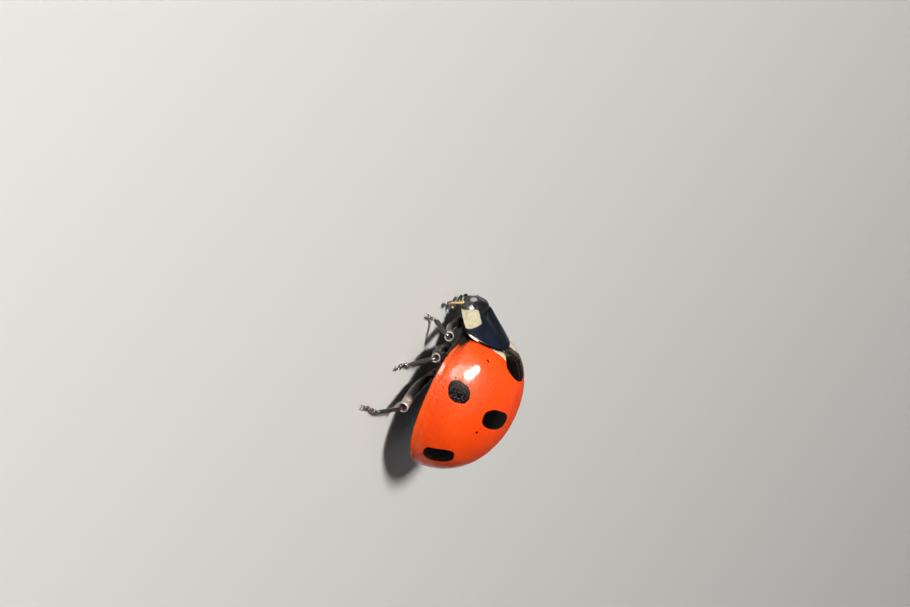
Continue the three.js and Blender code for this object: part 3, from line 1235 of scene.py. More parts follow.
@dataclass
class Hairdresser(Builder):
    """Grows hair on coats with one node tree."""

    curl: float = 0.25
    scatter: float = 0.22
    tree: "HairTree" = field(init=False)
    paint: Material = field(init=False)

    def __post_init__(self) -> None:
        """Makes the tree and the material that all hair shares."""
        self.tree = HairTree()
        self.paint = HairFinish("hair").material()

    def grow(
        self, coat: Coat, name: str, slot: Slot, side: Side, length: float, per_mm2: float,
        thickness: float = 0.0045, lean: float = 1.1, seed: int = 1,
    ) -> None:
        """Grows the hair of one coat.

        Args:
            coat: the skins.
            name: the piece's name.
            slot: the record's slot.
            side: of the animal; the skins are drawn on the left.
            length: of the longest hairs, in millimetres.
            per_mm2: hairs on a square millimetre of full cover.
            thickness: half of a hair's at its root, in millimetres.
            lean: how flat the hair lies.
            seed: of its scatter.
        """
        form = coat.form
        if side is Side.RIGHT:
            form.mirrored(side)
            form.values["lie"] = [v * (-1, 1, 1) for v in form.values["lie"]]
            form.faces = [face[::-1] for face in form.faces]
        values = {
            "Density": per_mm2 / MM ** 2, "Length": length * MM, "Thickness": thickness * MM,
            "Lean": lean, "Curl": self.curl, "Scatter": self.scatter, "Seed": seed,
            "Material": self.paint,
        }
        piece = self.tree.apply(form.make(name + "_skin"), name, values)
        self.settle(piece, slot)


@dataclass
class WingCases(Builder):
    """The two wing cases as thin, rimmed shells that meet at the suture."""

    wall: float = 0.12
    flange: float = 0.34  # how much further in the underside of the margin reaches
    seam: float = 0.006
    rows: int = 190
    columns: int = 96
    gutter_depth: float = 0.020
    gutter_place: float = 0.14
    shoulder_height: float = 0.055
    corner_back: float = 0.38  # how far the corner of the shoulder is rounded back
    base_reach: float = 0.05  # how far the base reaches under the neck shield's edge
    lip: tuple[tuple[float, float], ...] = (  # the margin's edge, outward and up
        (0.012, -0.022), (-0.02, -0.046), (-0.075, -0.048), (-0.12, -0.018),
    )

    def _shell(self) -> Form:
        """Draws the left wing case.

        Returns:
            Its form.
        """
        share = (1 - np.cos(np.linspace(0, math.pi, self.rows))) / 2
        share = 0.72 * share + 0.28 * np.linspace(0, 1, self.rows)
        turn = np.linspace(0, math.pi / 2, self.columns)
        outer = DOME.point(share[:, None], turn[None, :])
        outward = np.stack([np.sin(turn), 0 * turn, np.cos(turn)], -1)[None] + (0, -0.001, 0)
        normal = normals_of(outer, np.broadcast_to(outward, outer.shape))
        normal[-1] = (0, 1, 0)
        arc = arcs_across(outer)
        edge = arc[:, -1:] - arc
        along = share[:, None] * DOME.length + 0 * arc
        fade = smooth(0.0, 1.2, arc[:, -1:])
        lift = -self.gutter_depth * hump(edge, self.gutter_place, 0.08) * fade
        lift += 0.012 * hump(edge, 0.03, 0.05) * fade
        lift -= 0.016 * hump(arc, 0.0, 0.03)
        lift += self.shoulder_height * hump(arc, 2.35, 0.42) * hump(along, 0.62, 0.42)
        lift -= 0.03 * hump(along, 0.0, 0.09)
        outer = outer + normal * lift[..., None]
        way = turn[None, :] / (math.pi / 2)
        corner = smooth(0.84, 1.0, way) * np.exp(-((share[:, None] / 0.12) ** 2))
        front = smooth(0.94, 0.66, way) * (1 - share[:, None]) ** 9
        outer[..., 1] += self.corner_back * corner - self.base_reach * front
        wall = self.wall + self.flange * hump(edge, 0.0, 0.12) * fade
        wall = wall * smooth(0, 0.5, arc[:, -1:] + 0.06)
        inner = outer - normal * wall[..., None]
        for wing in (outer, inner):
            wing[..., 0] = np.maximum(wing[..., 0], self.seam / 2)
        middle = (outer[:1] + inner[:1]) / 2
        middle[..., 1] -= 0.03
        flat = unit(normal[:, -1] * (1, 1, 0))
        steps = [flat * out * fade + np.array([0, 0, down]) * fade for out, down in self.lip]
        lip = np.stack([outer[:, -1] + step for step in steps], axis=1)
        ring = np.concatenate([outer, lip, inner[:, ::-1]], axis=1)
        front = np.concatenate([middle, lip[:1], middle[:, ::-1]], axis=1)
        ring = np.concatenate([front, ring], axis=0)
        under = np.concatenate([0 * turn, [0.2, 0.6, 1, 1], 1 + 0 * turn])
        u = np.concatenate([arc, np.repeat(arc[:, -1:], 4, 1), arc[:, ::-1]], axis=1)
        v = np.concatenate([along, np.repeat(along[:, -1:], 4, 1), along[:, ::-1]], axis=1)
        e = np.concatenate([edge, np.zeros((self.rows, 4)), edge[:, ::-1]], axis=1)
        u, v, e = (np.concatenate([a[:1], a], axis=0) for a in (u, v, e))
        carried = np.stack([u, v, np.broadcast_to(under, u.shape)], axis=-1)
        return Form().grid(ring, True, shell=carried, rim=e[..., None])

    def build(self) -> None:
        """Builds both wing cases."""
        for side in Side:
            material = WingCaseFinish(side).material()
            piece = self._shell().mirrored(side).make(f"wing_case_{side.word}", material)
            self.settle(piece, Slot.ELYTRA, f"elytron_{side.word}")


@dataclass
class NeckShield(Builder):
    """The pronotum: a curved plate with rimmed sides and produced front corners."""

    hind_half_width: float = 1.48
    front_half_width: float = 0.99
    hind_corner: tuple[float, float] = (-0.253, 1.603)
    front_corner: tuple[float, float] = (-1.028, 0.694)
    hind_crest: tuple[float, float] = (-0.093, 2.859)
    front_crest: tuple[float, float] = (-0.96, 1.55)
    front_lobes: float = 0.21  # how far the front edge reaches forward on each side
    width_power: float = 1.5
    crest_power: float = 1.22
    wall: float = 0.13
    rows: int = 70
    columns: int = 141

    def surface(self, forward: np.ndarray, turn: np.ndarray) -> np.ndarray:
        """Points of the outer surface.

        Args:
            forward: 0 at the hind edge, 1 at the front edge.
            turn: from -90 to 90 degrees, in radians, over the back.

        Returns:
            The points.
        """
        half = between(self.hind_half_width, self.front_half_width, forward ** self.width_power)
        crest = between(self.hind_crest[1], self.front_crest[1], forward ** self.crest_power)
        edge = between(self.hind_corner[1], self.front_corner[1], forward)
        edge_y = between(self.hind_corner[0], self.front_corner[0], forward)
        crest_y = between(self.hind_crest[0], self.front_crest[0], forward)
        across = np.sin(turn)
        x = half * across
        y = between(crest_y, edge_y, np.abs(across) ** 1.4)
        y = y - self.front_lobes * forward ** 2 * np.sin(2 * turn) ** 2
        z = between(edge, crest, np.cos(turn))
        return np.stack(np.broadcast_arrays(x, y, z), axis=-1)

    def build(self) -> None:
        """Builds the shield."""
        forward = np.linspace(0, 1, self.rows)[:, None]
        turn = np.linspace(-math.pi / 2, math.pi / 2, self.columns)[None, :]
        outer = self.surface(forward, turn)
        outward = np.stack(np.broadcast_arrays(np.sin(turn), 0 * turn - 0.3, np.cos(turn)), -1)
        normal = normals_of(outer, np.broadcast_to(outward, outer.shape))
        arc = arcs_across(outer)
        edge = np.minimum(arc, arc[:, -1:] - arc)
        lift = 0.020 * hump(edge, 0.02, 0.035) - 0.026 * hump(edge, 0.14, 0.08)
        lift = lift - 0.02 * hump(forward, 0.0, 0.03) - 0.02 * hump(forward, 1.0, 0.03)
        outer = outer + normal * lift[..., None]
        inner = outer - normal * self.wall
        ring = np.concatenate([outer, inner[:, ::-1]], axis=1)
        ends = [(ring[i] + ring[i, ::-1]) / 2 for i in (0, -1)]
        ends[0] = ends[0] + (0, 0.02, 0)
        ends[1] = ends[1] + (0, -0.02, -0.01)
        ring = np.concatenate([ends[0][None], ring, ends[1][None]], axis=0)
        rows = np.concatenate([[0], np.linspace(0, 1, self.rows), [1]])[:, None]
        across = np.abs(np.concatenate([turn[0], turn[0, ::-1]]))[None, :] / (math.pi / 2)
        under = np.repeat([0.0, 1.0], self.columns)[None, :]
        carried = np.stack(np.broadcast_arrays(rows, across, under), axis=-1)
        form = Form().grid(ring, True, shell=carried)
        piece = form.make("neck_shield", ShieldFinish().material())
        self.settle(piece, Slot.SHIELD, "pronotum")


@dataclass
class Scutellum(Builder):
    """The small black triangle between the bases of the wing cases."""

    half_width: float = 0.27
    length: float = 0.42
    rows: int = 26
    columns: int = 25
    rise: float = 0.035
    depth: float = 0.22

    def build(self) -> None:
        """Builds the plate."""
        t = np.linspace(0, 1, self.rows)[:, None]
        a = np.linspace(-1, 1, self.columns)[None, :]
        half = self.half_width * (1 - t) ** 0.8 * (1 - 0.25 * np.sin(math.pi * t)) + 1e-4
        x = half * a
        y = -0.03 + t * self.length * (1 + 0 * a)
        share = np.clip(y, 0, 1) / DOME.length
        _, crest, _ = DOME.outline(share)
        top = DOME.margin + crest + self.rise * (1 - a ** 4) * (1 - t) ** 0.5 - 0.01
        upper = np.stack([x, y, top], axis=-1)
        lower = np.stack([x, y, top - self.depth], axis=-1)
        ring = np.concatenate([upper, lower[:, ::-1]], axis=1)
        ring = capped(ring)
        material = CuticleFinish("scutellum_black").material()
        piece = Form().grid(ring).make("scutellum_plate", material)
        self.settle(piece, Slot.SHIELD, "scutellum")


@dataclass
class CornerPlates(Builder):
    """The white side plates of the middle chest, between neck shield and wing cases."""

    path: tuple[Triple, ...] = (
        (1.57, -0.37, 1.56), (1.52, -0.31, 1.78), (1.36, -0.24, 1.98), (1.18, -0.19, 2.12),
    )
    facing: Triple = (0.78, -0.1, 0.6)
    half_width: float = 0.05
    half_depth: float = 0.05

    def build(self) -> None:
        """Builds both plates."""
        middle = np.mean(self.path, axis=0)
        material = IvoryFinish((middle[0], middle[1] + ORIGIN_Y, middle[2])).material()
        t = np.linspace(0, 1, 40)
        line = through(self.path, 40)
        wide = profile(((0, 0.01), (0.2, 0.8), (0.5, 1.0), (0.8, 0.75), (1, 0.01)), t)
        high = profile(((0, 0.01), (0.25, 0.9), (0.75, 0.9), (1, 0.01)), t)
        sizes = (wide * self.half_width, high * self.half_depth)
        rings = sweep(line, *sizes, self.facing, 28, 2.6)
        for side in Side:
            form = Form().grid(rings).mirrored(side)
            piece = form.make(f"corner_plate_{side.word}", material)
            self.settle(piece, Slot.IVORY, f"mesepimeron_{side.word}")


@dataclass
class Underbody(Builder):
    """Chest and belly, closed above under the wing cases, with the belly's rings."""

    inset: float = 0.24
    depth: float = 0.42
    rows: int = 220
    columns: int = 90
    ring_places: tuple[float, ...] = (2.35, 3.35, 3.95, 4.45, 4.9, 5.25)
    groove: float = 0.035
    front_taper: float = 0.30  # how much narrower the chest is where the neck starts
    front_length: float = 0.75
    gloss: float = 0.25
    backward: Triple = (0.0, 1.0, 0.0)  # the way its hair lies

    def build(self, dresser: Hairdresser) -> None:
        """Builds the trunk as one skin, then the front chest and the hair of both.

        Args:
            dresser: what grows the hair.
        """
        share = np.linspace(-0.02, 0.965, self.rows)[:, None]
        turn = np.linspace(-math.pi / 2, math.pi / 2, self.columns)[None, :]
        back = DOME.point(np.maximum(share, 0.0), turn, self.inset)
        back[..., 1] += np.minimum(share, 0.0) * DOME.length
        taper = 1 - self.front_taper * (1 - smooth(0.0, self.front_length, back[..., 1]))
        back[..., 0] *= taper
        back[..., 2] = DOME.margin + (back[..., 2] - DOME.margin) * taper
        _, crest, _ = DOME.outline(np.maximum(share, 0.0), self.inset)
        depth = self.depth * np.minimum(1, crest / DOME.base_height)
        x, y = back[..., 0], back[..., 1]
        cos = np.abs(np.cos(turn))
        z = DOME.margin - 0.02 - depth * cos ** 0.9
        side = np.maximum(np.abs(back[:, -1:, 0]), 1e-6)
        bend = 0.22 * (x / side) ** 2
        for place in self.ring_places:
            z = z + self.groove * hump(y + bend, place, 0.035) * cos ** 0.5
            z = z - 0.018 * hump(y + bend, place - 0.12, 0.10) * cos
        z = z + 0.04 * hump(x, 0.0, 0.03) * smooth(2.2, 1.9, y) * smooth(0.2, 0.5, y)
        z = z + 0.03 * hump(y + 0.4 * np.abs(x), 1.25, 0.05) * cos
        belly = np.stack([x, y, z], axis=-1)
        ring = np.concatenate([back, belly[:, ::-1]], axis=1)
        ring = capped(ring)
        material = CuticleFinish("trunk_black", coat=self.gloss).material()
        piece = Form().grid(ring).make("trunk", material)
        self.settle(piece, Slot.CUTICLE, "thorax", "abdomen")
        coat = Coat(tiles=(2, 1))
        cover = smooth(0.15, 0.5, cos) * (0.6 + 0.4 * smooth(2.0, 3.0, y))
        coat.skin(belly[:, ::-1], np.array(self.backward), cover)
        self._prothorax(coat)
        dresser.grow(coat, "hair_belly", Slot.CUTICLE, Side.LEFT, 0.10, 75, lean=1.6, seed=5)

    def _prothorax(self, coat: Coat) -> None:
        """Builds the front chest under the neck shield.

        Args:
            coat: the coat that its skin is added to.
        """
        forward = np.linspace(-0.04, 0.86, 60)[:, None]
        turn = np.linspace(-math.pi / 2, math.pi / 2, 61)[None, :]
        top = NeckShield().surface(np.clip(forward, 0, 1), turn)
        middle = np.array([0.0, 0.0, 1.45])
        top = (top - middle) * (0.86, 1.0, 0.86) + middle
        edge = top[:, :1, 2]
        bottom = 0.86 + 0.10 * smooth(0.4, 0.9, forward)
        z = edge - (edge - bottom) * np.cos(turn) ** 0.8
        z = z - 0.05 * hump(top[..., 0], 0.0, 0.14) * smooth(0.0, 0.3, forward)
        chest = np.stack([top[..., 0], top[..., 1], z], axis=-1)
        ring = np.concatenate([top, chest[:, ::-1]], axis=1)
        ring = capped(ring)
        cover = 0.8 * smooth(0.2, 0.6, np.cos(turn)) + 0 * forward
        coat.skin(chest, np.array(self.backward), cover)
        material = CuticleFinish("chest_black", coat=self.gloss).material()
        piece = Form().grid(ring).make("front_chest", material)
        self.settle(piece, Slot.CUTICLE, "prothorax")


@dataclass
class GeometryTree(Tree):
    """A geometry node tree with named inputs."""

    name: str
    inputs: dict[str, str] = field(default_factory=dict)

    def __post_init__(self) -> None:
        """Makes the tree with its sockets."""
        group = bpy.data.node_groups.new(self.name, "GeometryNodeTree")
        Tree.__init__(self, group)
        group.interface.new_socket("Geometry", in_out="INPUT", socket_type="NodeSocketGeometry")
        for label, kind in self.inputs.items():
            group.interface.new_socket(label, in_out="INPUT", socket_type=kind)
        group.interface.new_socket("Geometry", in_out="OUTPUT", socket_type="NodeSocketGeometry")
        self.start = self.node("NodeGroupInput", {}, {})

    def given(self, label: str) -> Value:
        """One of the tree's inputs."""
        return Value(self, self.start.outputs[label])

    def named(self, label: str) -> Value:
        """A vector that the points carry."""
        settings = {"data_type": "FLOAT_VECTOR"}
        return self.value("GeometryNodeInputNamedAttribute", settings, {"Name": label})

    def position(self) -> tuple[Value, Value, Value]:
        """The coordinates of each point."""
        return self.split(self.value("GeometryNodeInputPosition", {}, {}))

    def store(
        self, geometry: Value, label: str, content: Value, kind: str = "FLOAT_VECTOR",
        domain: str = "POINT",
    ) -> Value:
        """Makes a geometry carry a value.

        Args:
            geometry: the geometry.
            label: the name that the value is carried under.
            content: the value.
            kind: its data type.
            domain: what carries it, points or corners.

        Returns:
            The geometry with the value.
        """
        settings = {"data_type": kind, "domain": domain}
        inputs = {"Geometry": geometry, "Name": label, "Value": content}
        return self.value("GeometryNodeStoreNamedAttribute", settings, inputs)

    def planted(self, points: Value, instance: Value, size: Value) -> Value:
        """Puts an instance on each point, turned to the heading that the point carries.

        Args:
            points: the points.
            instance: what is put there.
            size: its scale.

        Returns:
            The instances.
        """
        turned = self.value(
            "FunctionNodeAlignRotationToVector", {"axis": "Z"}, {"Vector": self.named("heading")}
        )
        inputs = {"Points": points, "Instance": instance, "Rotation": turned, "Scale": size}
        return self.value("GeometryNodeInstanceOnPoints", {}, inputs)

    def end(self, geometry: Value, material: Value) -> None:
        """Realizes the instances, sets the material and closes the tree.

        Args:
            geometry: what the tree gives out.
            material: its material.
        """
        solid = self.value("GeometryNodeRealizeInstances", {}, {0: geometry})
        soft = self.value("GeometryNodeSetShadeSmooth", {}, {"Geometry": solid, "Shade Smooth": True})
        dressed = self.value("GeometryNodeSetMaterial", {}, {"Geometry": soft, "Material": material})
        self.node("NodeGroupOutput", {}, {0: dressed})

    def apply(
        self, source: Object, name: str, values: dict[str, Any]
    ) -> Object:
        """Runs the tree on an object and keeps the result as a plain mesh.

        Args:
            source: the object that the tree starts from, which is removed.
            name: the new object's name.
            values: the tree's inputs by name.

        Returns:
            The new object.
        """
        modifier = source.modifiers.new("nodes", "NODES")
        modifier.node_group = self.tree
        for item in self.tree.interface.items_tree:
            if item.item_type == "SOCKET" and item.in_out == "INPUT" and item.name in values:
                modifier[item.identifier] = values[item.name]
        graph = bpy.context.evaluated_depsgraph_get()
        mesh = bpy.data.meshes.new_from_object(source.evaluated_get(graph))
        source.modifiers.clear()
        bpy.data.objects.remove(source)
        mesh.name = name
        return placed(name, mesh)


def blank(name: str) -> Object:
    """An object with an empty mesh, for a tree that makes its own geometry."""
    return placed(name, bpy.data.meshes.new(name))


class EyeTree(GeometryTree):
    """A compound eye: the hexagons of a finely divided ball, each raised into a small dome."""

    def __init__(self) -> None:
        """Makes the tree."""
        kinds = {
            "Centre": "NodeSocketVector", "Radii": "NodeSocketVector", "Bulge": "NodeSocketFloat",
            "Taper": "NodeSocketFloat", "Fineness": "NodeSocketInt", "Material": "NodeSocketMaterial",
        }
        super().__init__("compound_eye", kinds)
        inputs = {"Radius": 1.0, "Subdivisions": self.given("Fineness")}
        ball = self.value("GeometryNodeMeshIcoSphere", {}, inputs)
        hexagons = self.value("GeometryNodeDualMesh", {}, {0: ball})
        raised = self.node(
            "GeometryNodeExtrudeMesh", {"mode": "FACES"},
            {"Mesh": hexagons, "Offset Scale": self.given("Bulge"), "Individual": True},
        )
        mesh, tops = (Value(self, raised.outputs[k]) for k in ("Mesh", "Top"))
        domed = self.value(
            "GeometryNodeScaleElements", {"domain": "FACE"},
            {"Geometry": mesh, "Selection": tops, "Scale": self.given("Taper")},
        )
        placed = self.value(
            "GeometryNodeTransform", {},
            {"Geometry": domed, "Translation": self.given("Centre"), "Scale": self.given("Radii")},
        )
        self.end(placed, self.given("Material"))


class BeadTree(GeometryTree):
    """A jointed feeler: one bead, wider at its far end, on each point of a path."""

    def __init__(self) -> None:
        """Makes the tree."""
        kinds = {"Flare": "NodeSocketFloat", "Material": "NodeSocketMaterial"}
        super().__init__("jointed_feeler", kinds)
        ball = self.value("GeometryNodeMeshUVSphere", {}, {"Segments": 20, "Rings": 14, "Radius": 1.0})
        x, y, z = self.position()
        width = 1.0 + z * self.given("Flare")
        squared = z * (1.25 - abs(z) * abs(z) * 0.25)
        shaped = self.value(
            "GeometryNodeSetPosition", {},
            {"Geometry": ball, "Position": self.join(x * width, y * width, squared)},
        )
        strung = self.planted(self.given("Geometry"), shaped, self.named("size"))
        self.end(strung, self.given("Material"))


class HairTree(GeometryTree):
    """Hairs scattered over a skin, leaning the way the skin's points say."""

    PATCH: ClassVar[float] = 0.003  # a hair's own patch on the square of its coat
    SPREAD: ClassVar[tuple[float, float]] = (0.6, 1.15)  # shortest and longest, by the given length

    def __init__(self) -> None:
        """Makes the tree."""
        kinds = {
            "Density": "NodeSocketFloat", "Length": "NodeSocketFloat", "Thickness": "NodeSocketFloat",
            "Lean": "NodeSocketFloat", "Curl": "NodeSocketFloat", "Scatter": "NodeSocketFloat",
            "Seed": "NodeSocketInt", "Material": "NodeSocketMaterial",
        }
        super().__init__("hair_coat", kinds)
        seed = self.given("Seed")
        cover, _, _ = self.split(self.named("cover"))
        spread = self.node(
            "GeometryNodeDistributePointsOnFaces", {"distribute_method": "RANDOM"},
            {"Mesh": self.given("Geometry"), "Density": cover * self.given("Density"), "Seed": seed},
        )
        points, normal = (Value(self, spread.outputs[k]) for k in ("Points", "Normal"))
        lie = self.scaled(self.named("lie"), self.given("Lean"))
        strays = self.value(
            "FunctionNodeRandomValue", {"data_type": "FLOAT_VECTOR"},
            {"Min": (-1.0, -1.0, -1.0), "Max": (1.0, 1.0, 1.0), "Seed": seed + 7.0},
        )
        stray = self.scaled(strays, self.given("Scatter"))
        heading = self.vector("ADD", self.vector("ADD", normal, lie), stray)
        marked = self.store(points, "heading", heading)
        hair = self._hair()
        shortest, longest = self.SPREAD
        varied = self.value(
            "FunctionNodeRandomValue", {"data_type": "FLOAT"},
            {2: shortest, 3: longest, "Seed": seed + 3.0}, 1,
        )
        size = self.join(
            self.given("Thickness"), self.given("Thickness"), self.given("Length") * varied
        )
        solid = self.value("GeometryNodeRealizeInstances", {}, {0: self.planted(marked, hair, size)})
        root, own = self.named("root_uv"), self.named("tuft_uv")
        patch = self.vector("MULTIPLY_ADD", own, (self.PATCH, self.PATCH, 0.0), root)
        mapped = self.store(solid, "OFBake", patch, "FLOAT2", "CORNER")
        for spare in ("tuft_uv", "root_uv", "lie", "cover", "heading"):
            inputs = {"Geometry": mapped, "Name": spare}
            mapped = self.value("GeometryNodeRemoveAttribute", {}, inputs)
        self.end(mapped, self.given("Material"))

    def _hair(self) -> Value:
        """Draws one hair, a bent three-sided cone of length 1.

        Returns:
            The hair, with its own coordinates.
        """
        sizes = {"Radius Top": 0.12, "Radius Bottom": 1.0, "Depth": 1.0}
        cone = self.value(
            "GeometryNodeMeshCone", {"fill_type": "NGON"},
            {"Vertices": 3, "Side Segments": 3, **sizes},
        )
        x, y, z = self.position()
        centred = self.join(x * 0.25, z - 0.5, 0.0)
        marked = self.store(cone, "tuft_uv", centred)
        marked = self.store(marked, "rise", self.join(z, 0.0, 0.0))
        bend = self.join(x + z * z * self.given("Curl"), y, z)
        return self.value("GeometryNodeSetPosition", {}, {"Geometry": marked, "Position": bend})


@dataclass
class Head(Builder):
    """Head capsule, eyes, lip, jaws, palps and feelers."""

    centre_y: float = -0.99
    lean: float = 0.06
    top: float = 1.44
    bottom: float = 0.36
    half_width: float = 0.765
    half_depth: float = 0.48
    widest_at: float = 0.42
    eye_centre: Triple = (0.69, -1.10, 0.92)
    eye_radii: Triple = (0.245, 0.255, 0.32)
    lip_centre: Triple = (0.0, -1.2, 0.57)
    lip_radii: Triple = (0.38, 0.22, 0.17)
    feeler: dict[Side, tuple[Triple, ...]] = field(default_factory=lambda: {
        Side.LEFT: ((0.60, -1.20, 0.60), (0.94, -1.18, 0.52), (1.34, -1.18, 0.42), (1.70, -1.15, 0.33)),
        Side.RIGHT: ((0.62, -1.22, 0.64), (1.0, -1.25, 0.54), (1.38, -1.05, 0.44), (1.6, -0.78, 0.40)),
    })
    palp: tuple[Triple, ...] = ((0.50, -1.12, 0.42), (0.68, -1.02, 0.34), (0.88, -0.80, 0.27))
    jaw: tuple[Triple, ...] = (
        (0.42, -1.0, 0.36), (0.36, -1.17, 0.30), (0.2, -1.25, 0.27), (0.05, -1.2, 0.27),
    )

    def build(self, dresser: Hairdresser) -> None:
        """Builds every piece of the head.

        Args:
            dresser: what grows its hair.
        """
        self._capsule(dresser)
        self._lip()
        eyes, beads = EyeTree(), BeadTree()
        eye_paint, feeler_paint = EyeFinish().material(), FeelerFinish().material()
        palp_paint = FeelerFinish("palp", honey=(0.11, 0.06, 0.025)).material()
        jaw_paint = CuticleFinish("jaw_brown", brown=(0.09, 0.035, 0.012), coat=0.6).material()
        for side in Side:
            self._eye(side, eyes, eye_paint)
            self._feeler(side, beads, feeler_paint)
            self._palp(side, beads, palp_paint)
            self._jaw(side, jaw_paint)

    def _capsule(self, dresser: Hairdresser) -> None:
        """Builds the capsule with its clypeus.

        Args:
            dresser: what grows its hair.
        """
        rows, columns = 90, 120
        t = ((1 - np.cos(np.linspace(0, math.pi, rows))) / 2)[:, None]
        a = np.linspace(0, 2 * math.pi, columns, endpoint=False)[None, :]
        below = (t - self.widest_at) / (1 - self.widest_at)
        reach = np.where(t < self.widest_at, 1 - t / self.widest_at, below)
        size = np.sqrt(np.clip(1 - reach ** 2.4, 0, 1))
        z = self.top + (self.bottom - self.top) * t
        y = self.centre_y - self.lean * (z - self.bottom)
        front = np.clip(-np.sin(a), 0, 1)
        x = size * self.half_width * np.cos(a)
        depth = self.half_depth * (1 + 0.10 * front * hump(t, 0.62, 0.22) * hump(np.cos(a), 0, 0.5))
        grid = np.stack(np.broadcast_arrays(x, y + size * depth * np.sin(a), z + 0 * a), axis=-1)
        groove = 0.03 * hump(t, 0.72 - 0.06 * np.cos(a) ** 2, 0.02) * front
        grid[..., 1] += groove
        forehead = 0.02 * hump(np.cos(a), 0, 0.12) * hump(t, 0.35, 0.25) * front
        grid[..., 1] += forehead
        facing = np.broadcast_to(front > 0.15, t.shape[:1] + a.shape[1:]).astype(float)
        carried = np.stack([0 * facing, 0 * facing, facing], axis=-1)
        finish = HeadFinish(mark_x=0.40, mark_z=0.86)
        piece = Form().grid(grid, True, shell=carried).make("head_capsule", finish.material())
        self.settle(piece, Slot.CUTICLE, "head")
        coat = Coat()
        cover = facing * smooth(0.12, 0.3, t) * smooth(0.98, 0.85, t)
        cover = cover * (0.35 + 0.65 * smooth(0.5, 0.8, t))
        coat.skin(wrapped(grid), np.array([0.0, 0.0, -1.0]), wrapped(cover))
        dresser.grow(
            coat, "hair_face", Slot.CUTICLE, Side.LEFT, 0.075, 130,
            thickness=0.0035, lean=0.9, seed=8,
        )

    def _lip(self) -> None:
        """Builds the upper lip with its notched front edge."""
        t = np.linspace(0, math.pi, 36)[:, None]
        a = np.linspace(0, 2 * math.pi, 56, endpoint=False)[None, :]
        x = signed_power(np.sin(t), 0.8) * np.cos(a)
        y = signed_power(np.sin(t), 0.8) * np.sin(a)
        y = y + 0.10 * hump(x, 0, 0.3) * (y < 0)
        ball = np.stack(np.broadcast_arrays(x, y, np.cos(t) + 0 * a), axis=-1)
        grid = np.array(self.lip_centre) + ball * np.array(self.lip_radii)
        finish = CuticleFinish("lip_brown", brown=(0.05, 0.025, 0.012), coat=0.5)
        piece = Form().grid(grid).make("upper_lip", finish.material())
        self.settle(piece, Slot.CUTICLE, "labrum")

    def _eye(self, side: Side, tree: EyeTree, paint: Material) -> None:
        """Builds one faceted eye.

        Args:
            side: of the animal.
            tree: the tree that makes the facets.
            paint: the material.
        """
        x, y, z = self.eye_centre
        values = {
            "Centre": Vector((side.value * x, y + ORIGIN_Y, z)) * MM,
            "Radii": Vector(self.eye_radii) * MM,
            "Bulge": 0.022, "Taper": 0.55, "Fineness": 5, "Material": paint,
        }
        piece = tree.apply(blank("eye_start"), f"compound_eye_{side.word}", values)
        self.settle(piece, Slot.EYE, f"eye_{side.word}")

    def _string(
        self, side: Side, path: Sequence[Triple], joints: Sequence[Triple], name: str,
        tree: BeadTree, paint: Material, flare: float = 0.24,
    ) -> Object:
        """Builds a string of beads along a path.

        Args:
            side: of the animal.
            path: places on the left side.
            joints: each bead's share of the length, half thickness and darkness.
            name: the piece's name.
            tree: the tree that strings the beads.
            paint: the material.
            flare: how much wider a bead is at its far end.

        Returns:
            The piece.
        """
        line = through(path, 200) * (side.value, 1, 1)
        total = np.linalg.norm(np.diff(line, axis=0), axis=1).sum()
        shares = np.array([j[0] for j in joints])
        ends = np.concatenate([[0], np.cumsum(shares / shares.sum())])
        middles = (ends[1:] + ends[:-1]) / 2
        heading = unit(along_line(line, ends[1:]) - along_line(line, ends[:-1]))
        length = np.diff(ends) * total / 2 * 1.12
        start = blank(name + "_start")
        points = (along_line(line, middles) + (0, ORIGIN_Y, 0)) * MM
        start.data.from_pydata(points.tolist(), [], [])
        thick = np.array([j[1] for j in joints])
        carried = {
            "heading": heading,
            "size": np.stack([thick, thick, length], 1) * MM,
            "tone": np.stack([[j[2] for j in joints]] + [np.zeros(len(joints))] * 2, 1),
        }
        for label, content in carried.items():
            layer = start.data.attributes.new(label, "FLOAT_VECTOR", "POINT")
            layer.data.foreach_set("vector", content.ravel())
        return tree.apply(start, name, {"Flare": flare, "Material": paint})

    def _feeler(self, side: Side, tree: BeadTree, paint: Material) -> None:
        """Builds one eleven-jointed, clubbed feeler.

        Args:
            side: of the animal.
            tree: the tree that strings the beads.
            paint: the material.
        """
        joints = (
            (1.9, 0.095, 0.15), (1.1, 0.075, 0.05), (1.6, 0.052, 0.0), (1.0, 0.052, 0.05),
            (1.0, 0.053, 0.1), (0.8, 0.055, 0.1), (0.8, 0.060, 0.15), (0.8, 0.070, 0.25),
            (1.2, 0.100, 0.45), (1.1, 0.106, 0.6), (1.2, 0.088, 0.7),
        )
        piece = self._string(side, self.feeler[side], joints, f"feeler_{side.word}", tree, paint)
        self.settle(piece, Slot.FEELER, f"antenna_{side.word}")

    def _palp(self, side: Side, tree: BeadTree, paint: Material) -> None:
        """Builds one hatchet-ended mouth feeler.

        Args:
            side: of the animal.
            tree: the tree that strings the beads.
            paint: the material.
        """
        joints = ((0.6, 0.05, 0.6), (1.1, 0.06, 0.5), (0.9, 0.065, 0.6), (1.4, 0.115, 0.9))
        piece = self._string(side, self.palp, joints, f"mouth_feeler_{side.word}", tree, paint, 0.45)
        self.settle(piece, Slot.FEELER, f"palp_{side.word}")

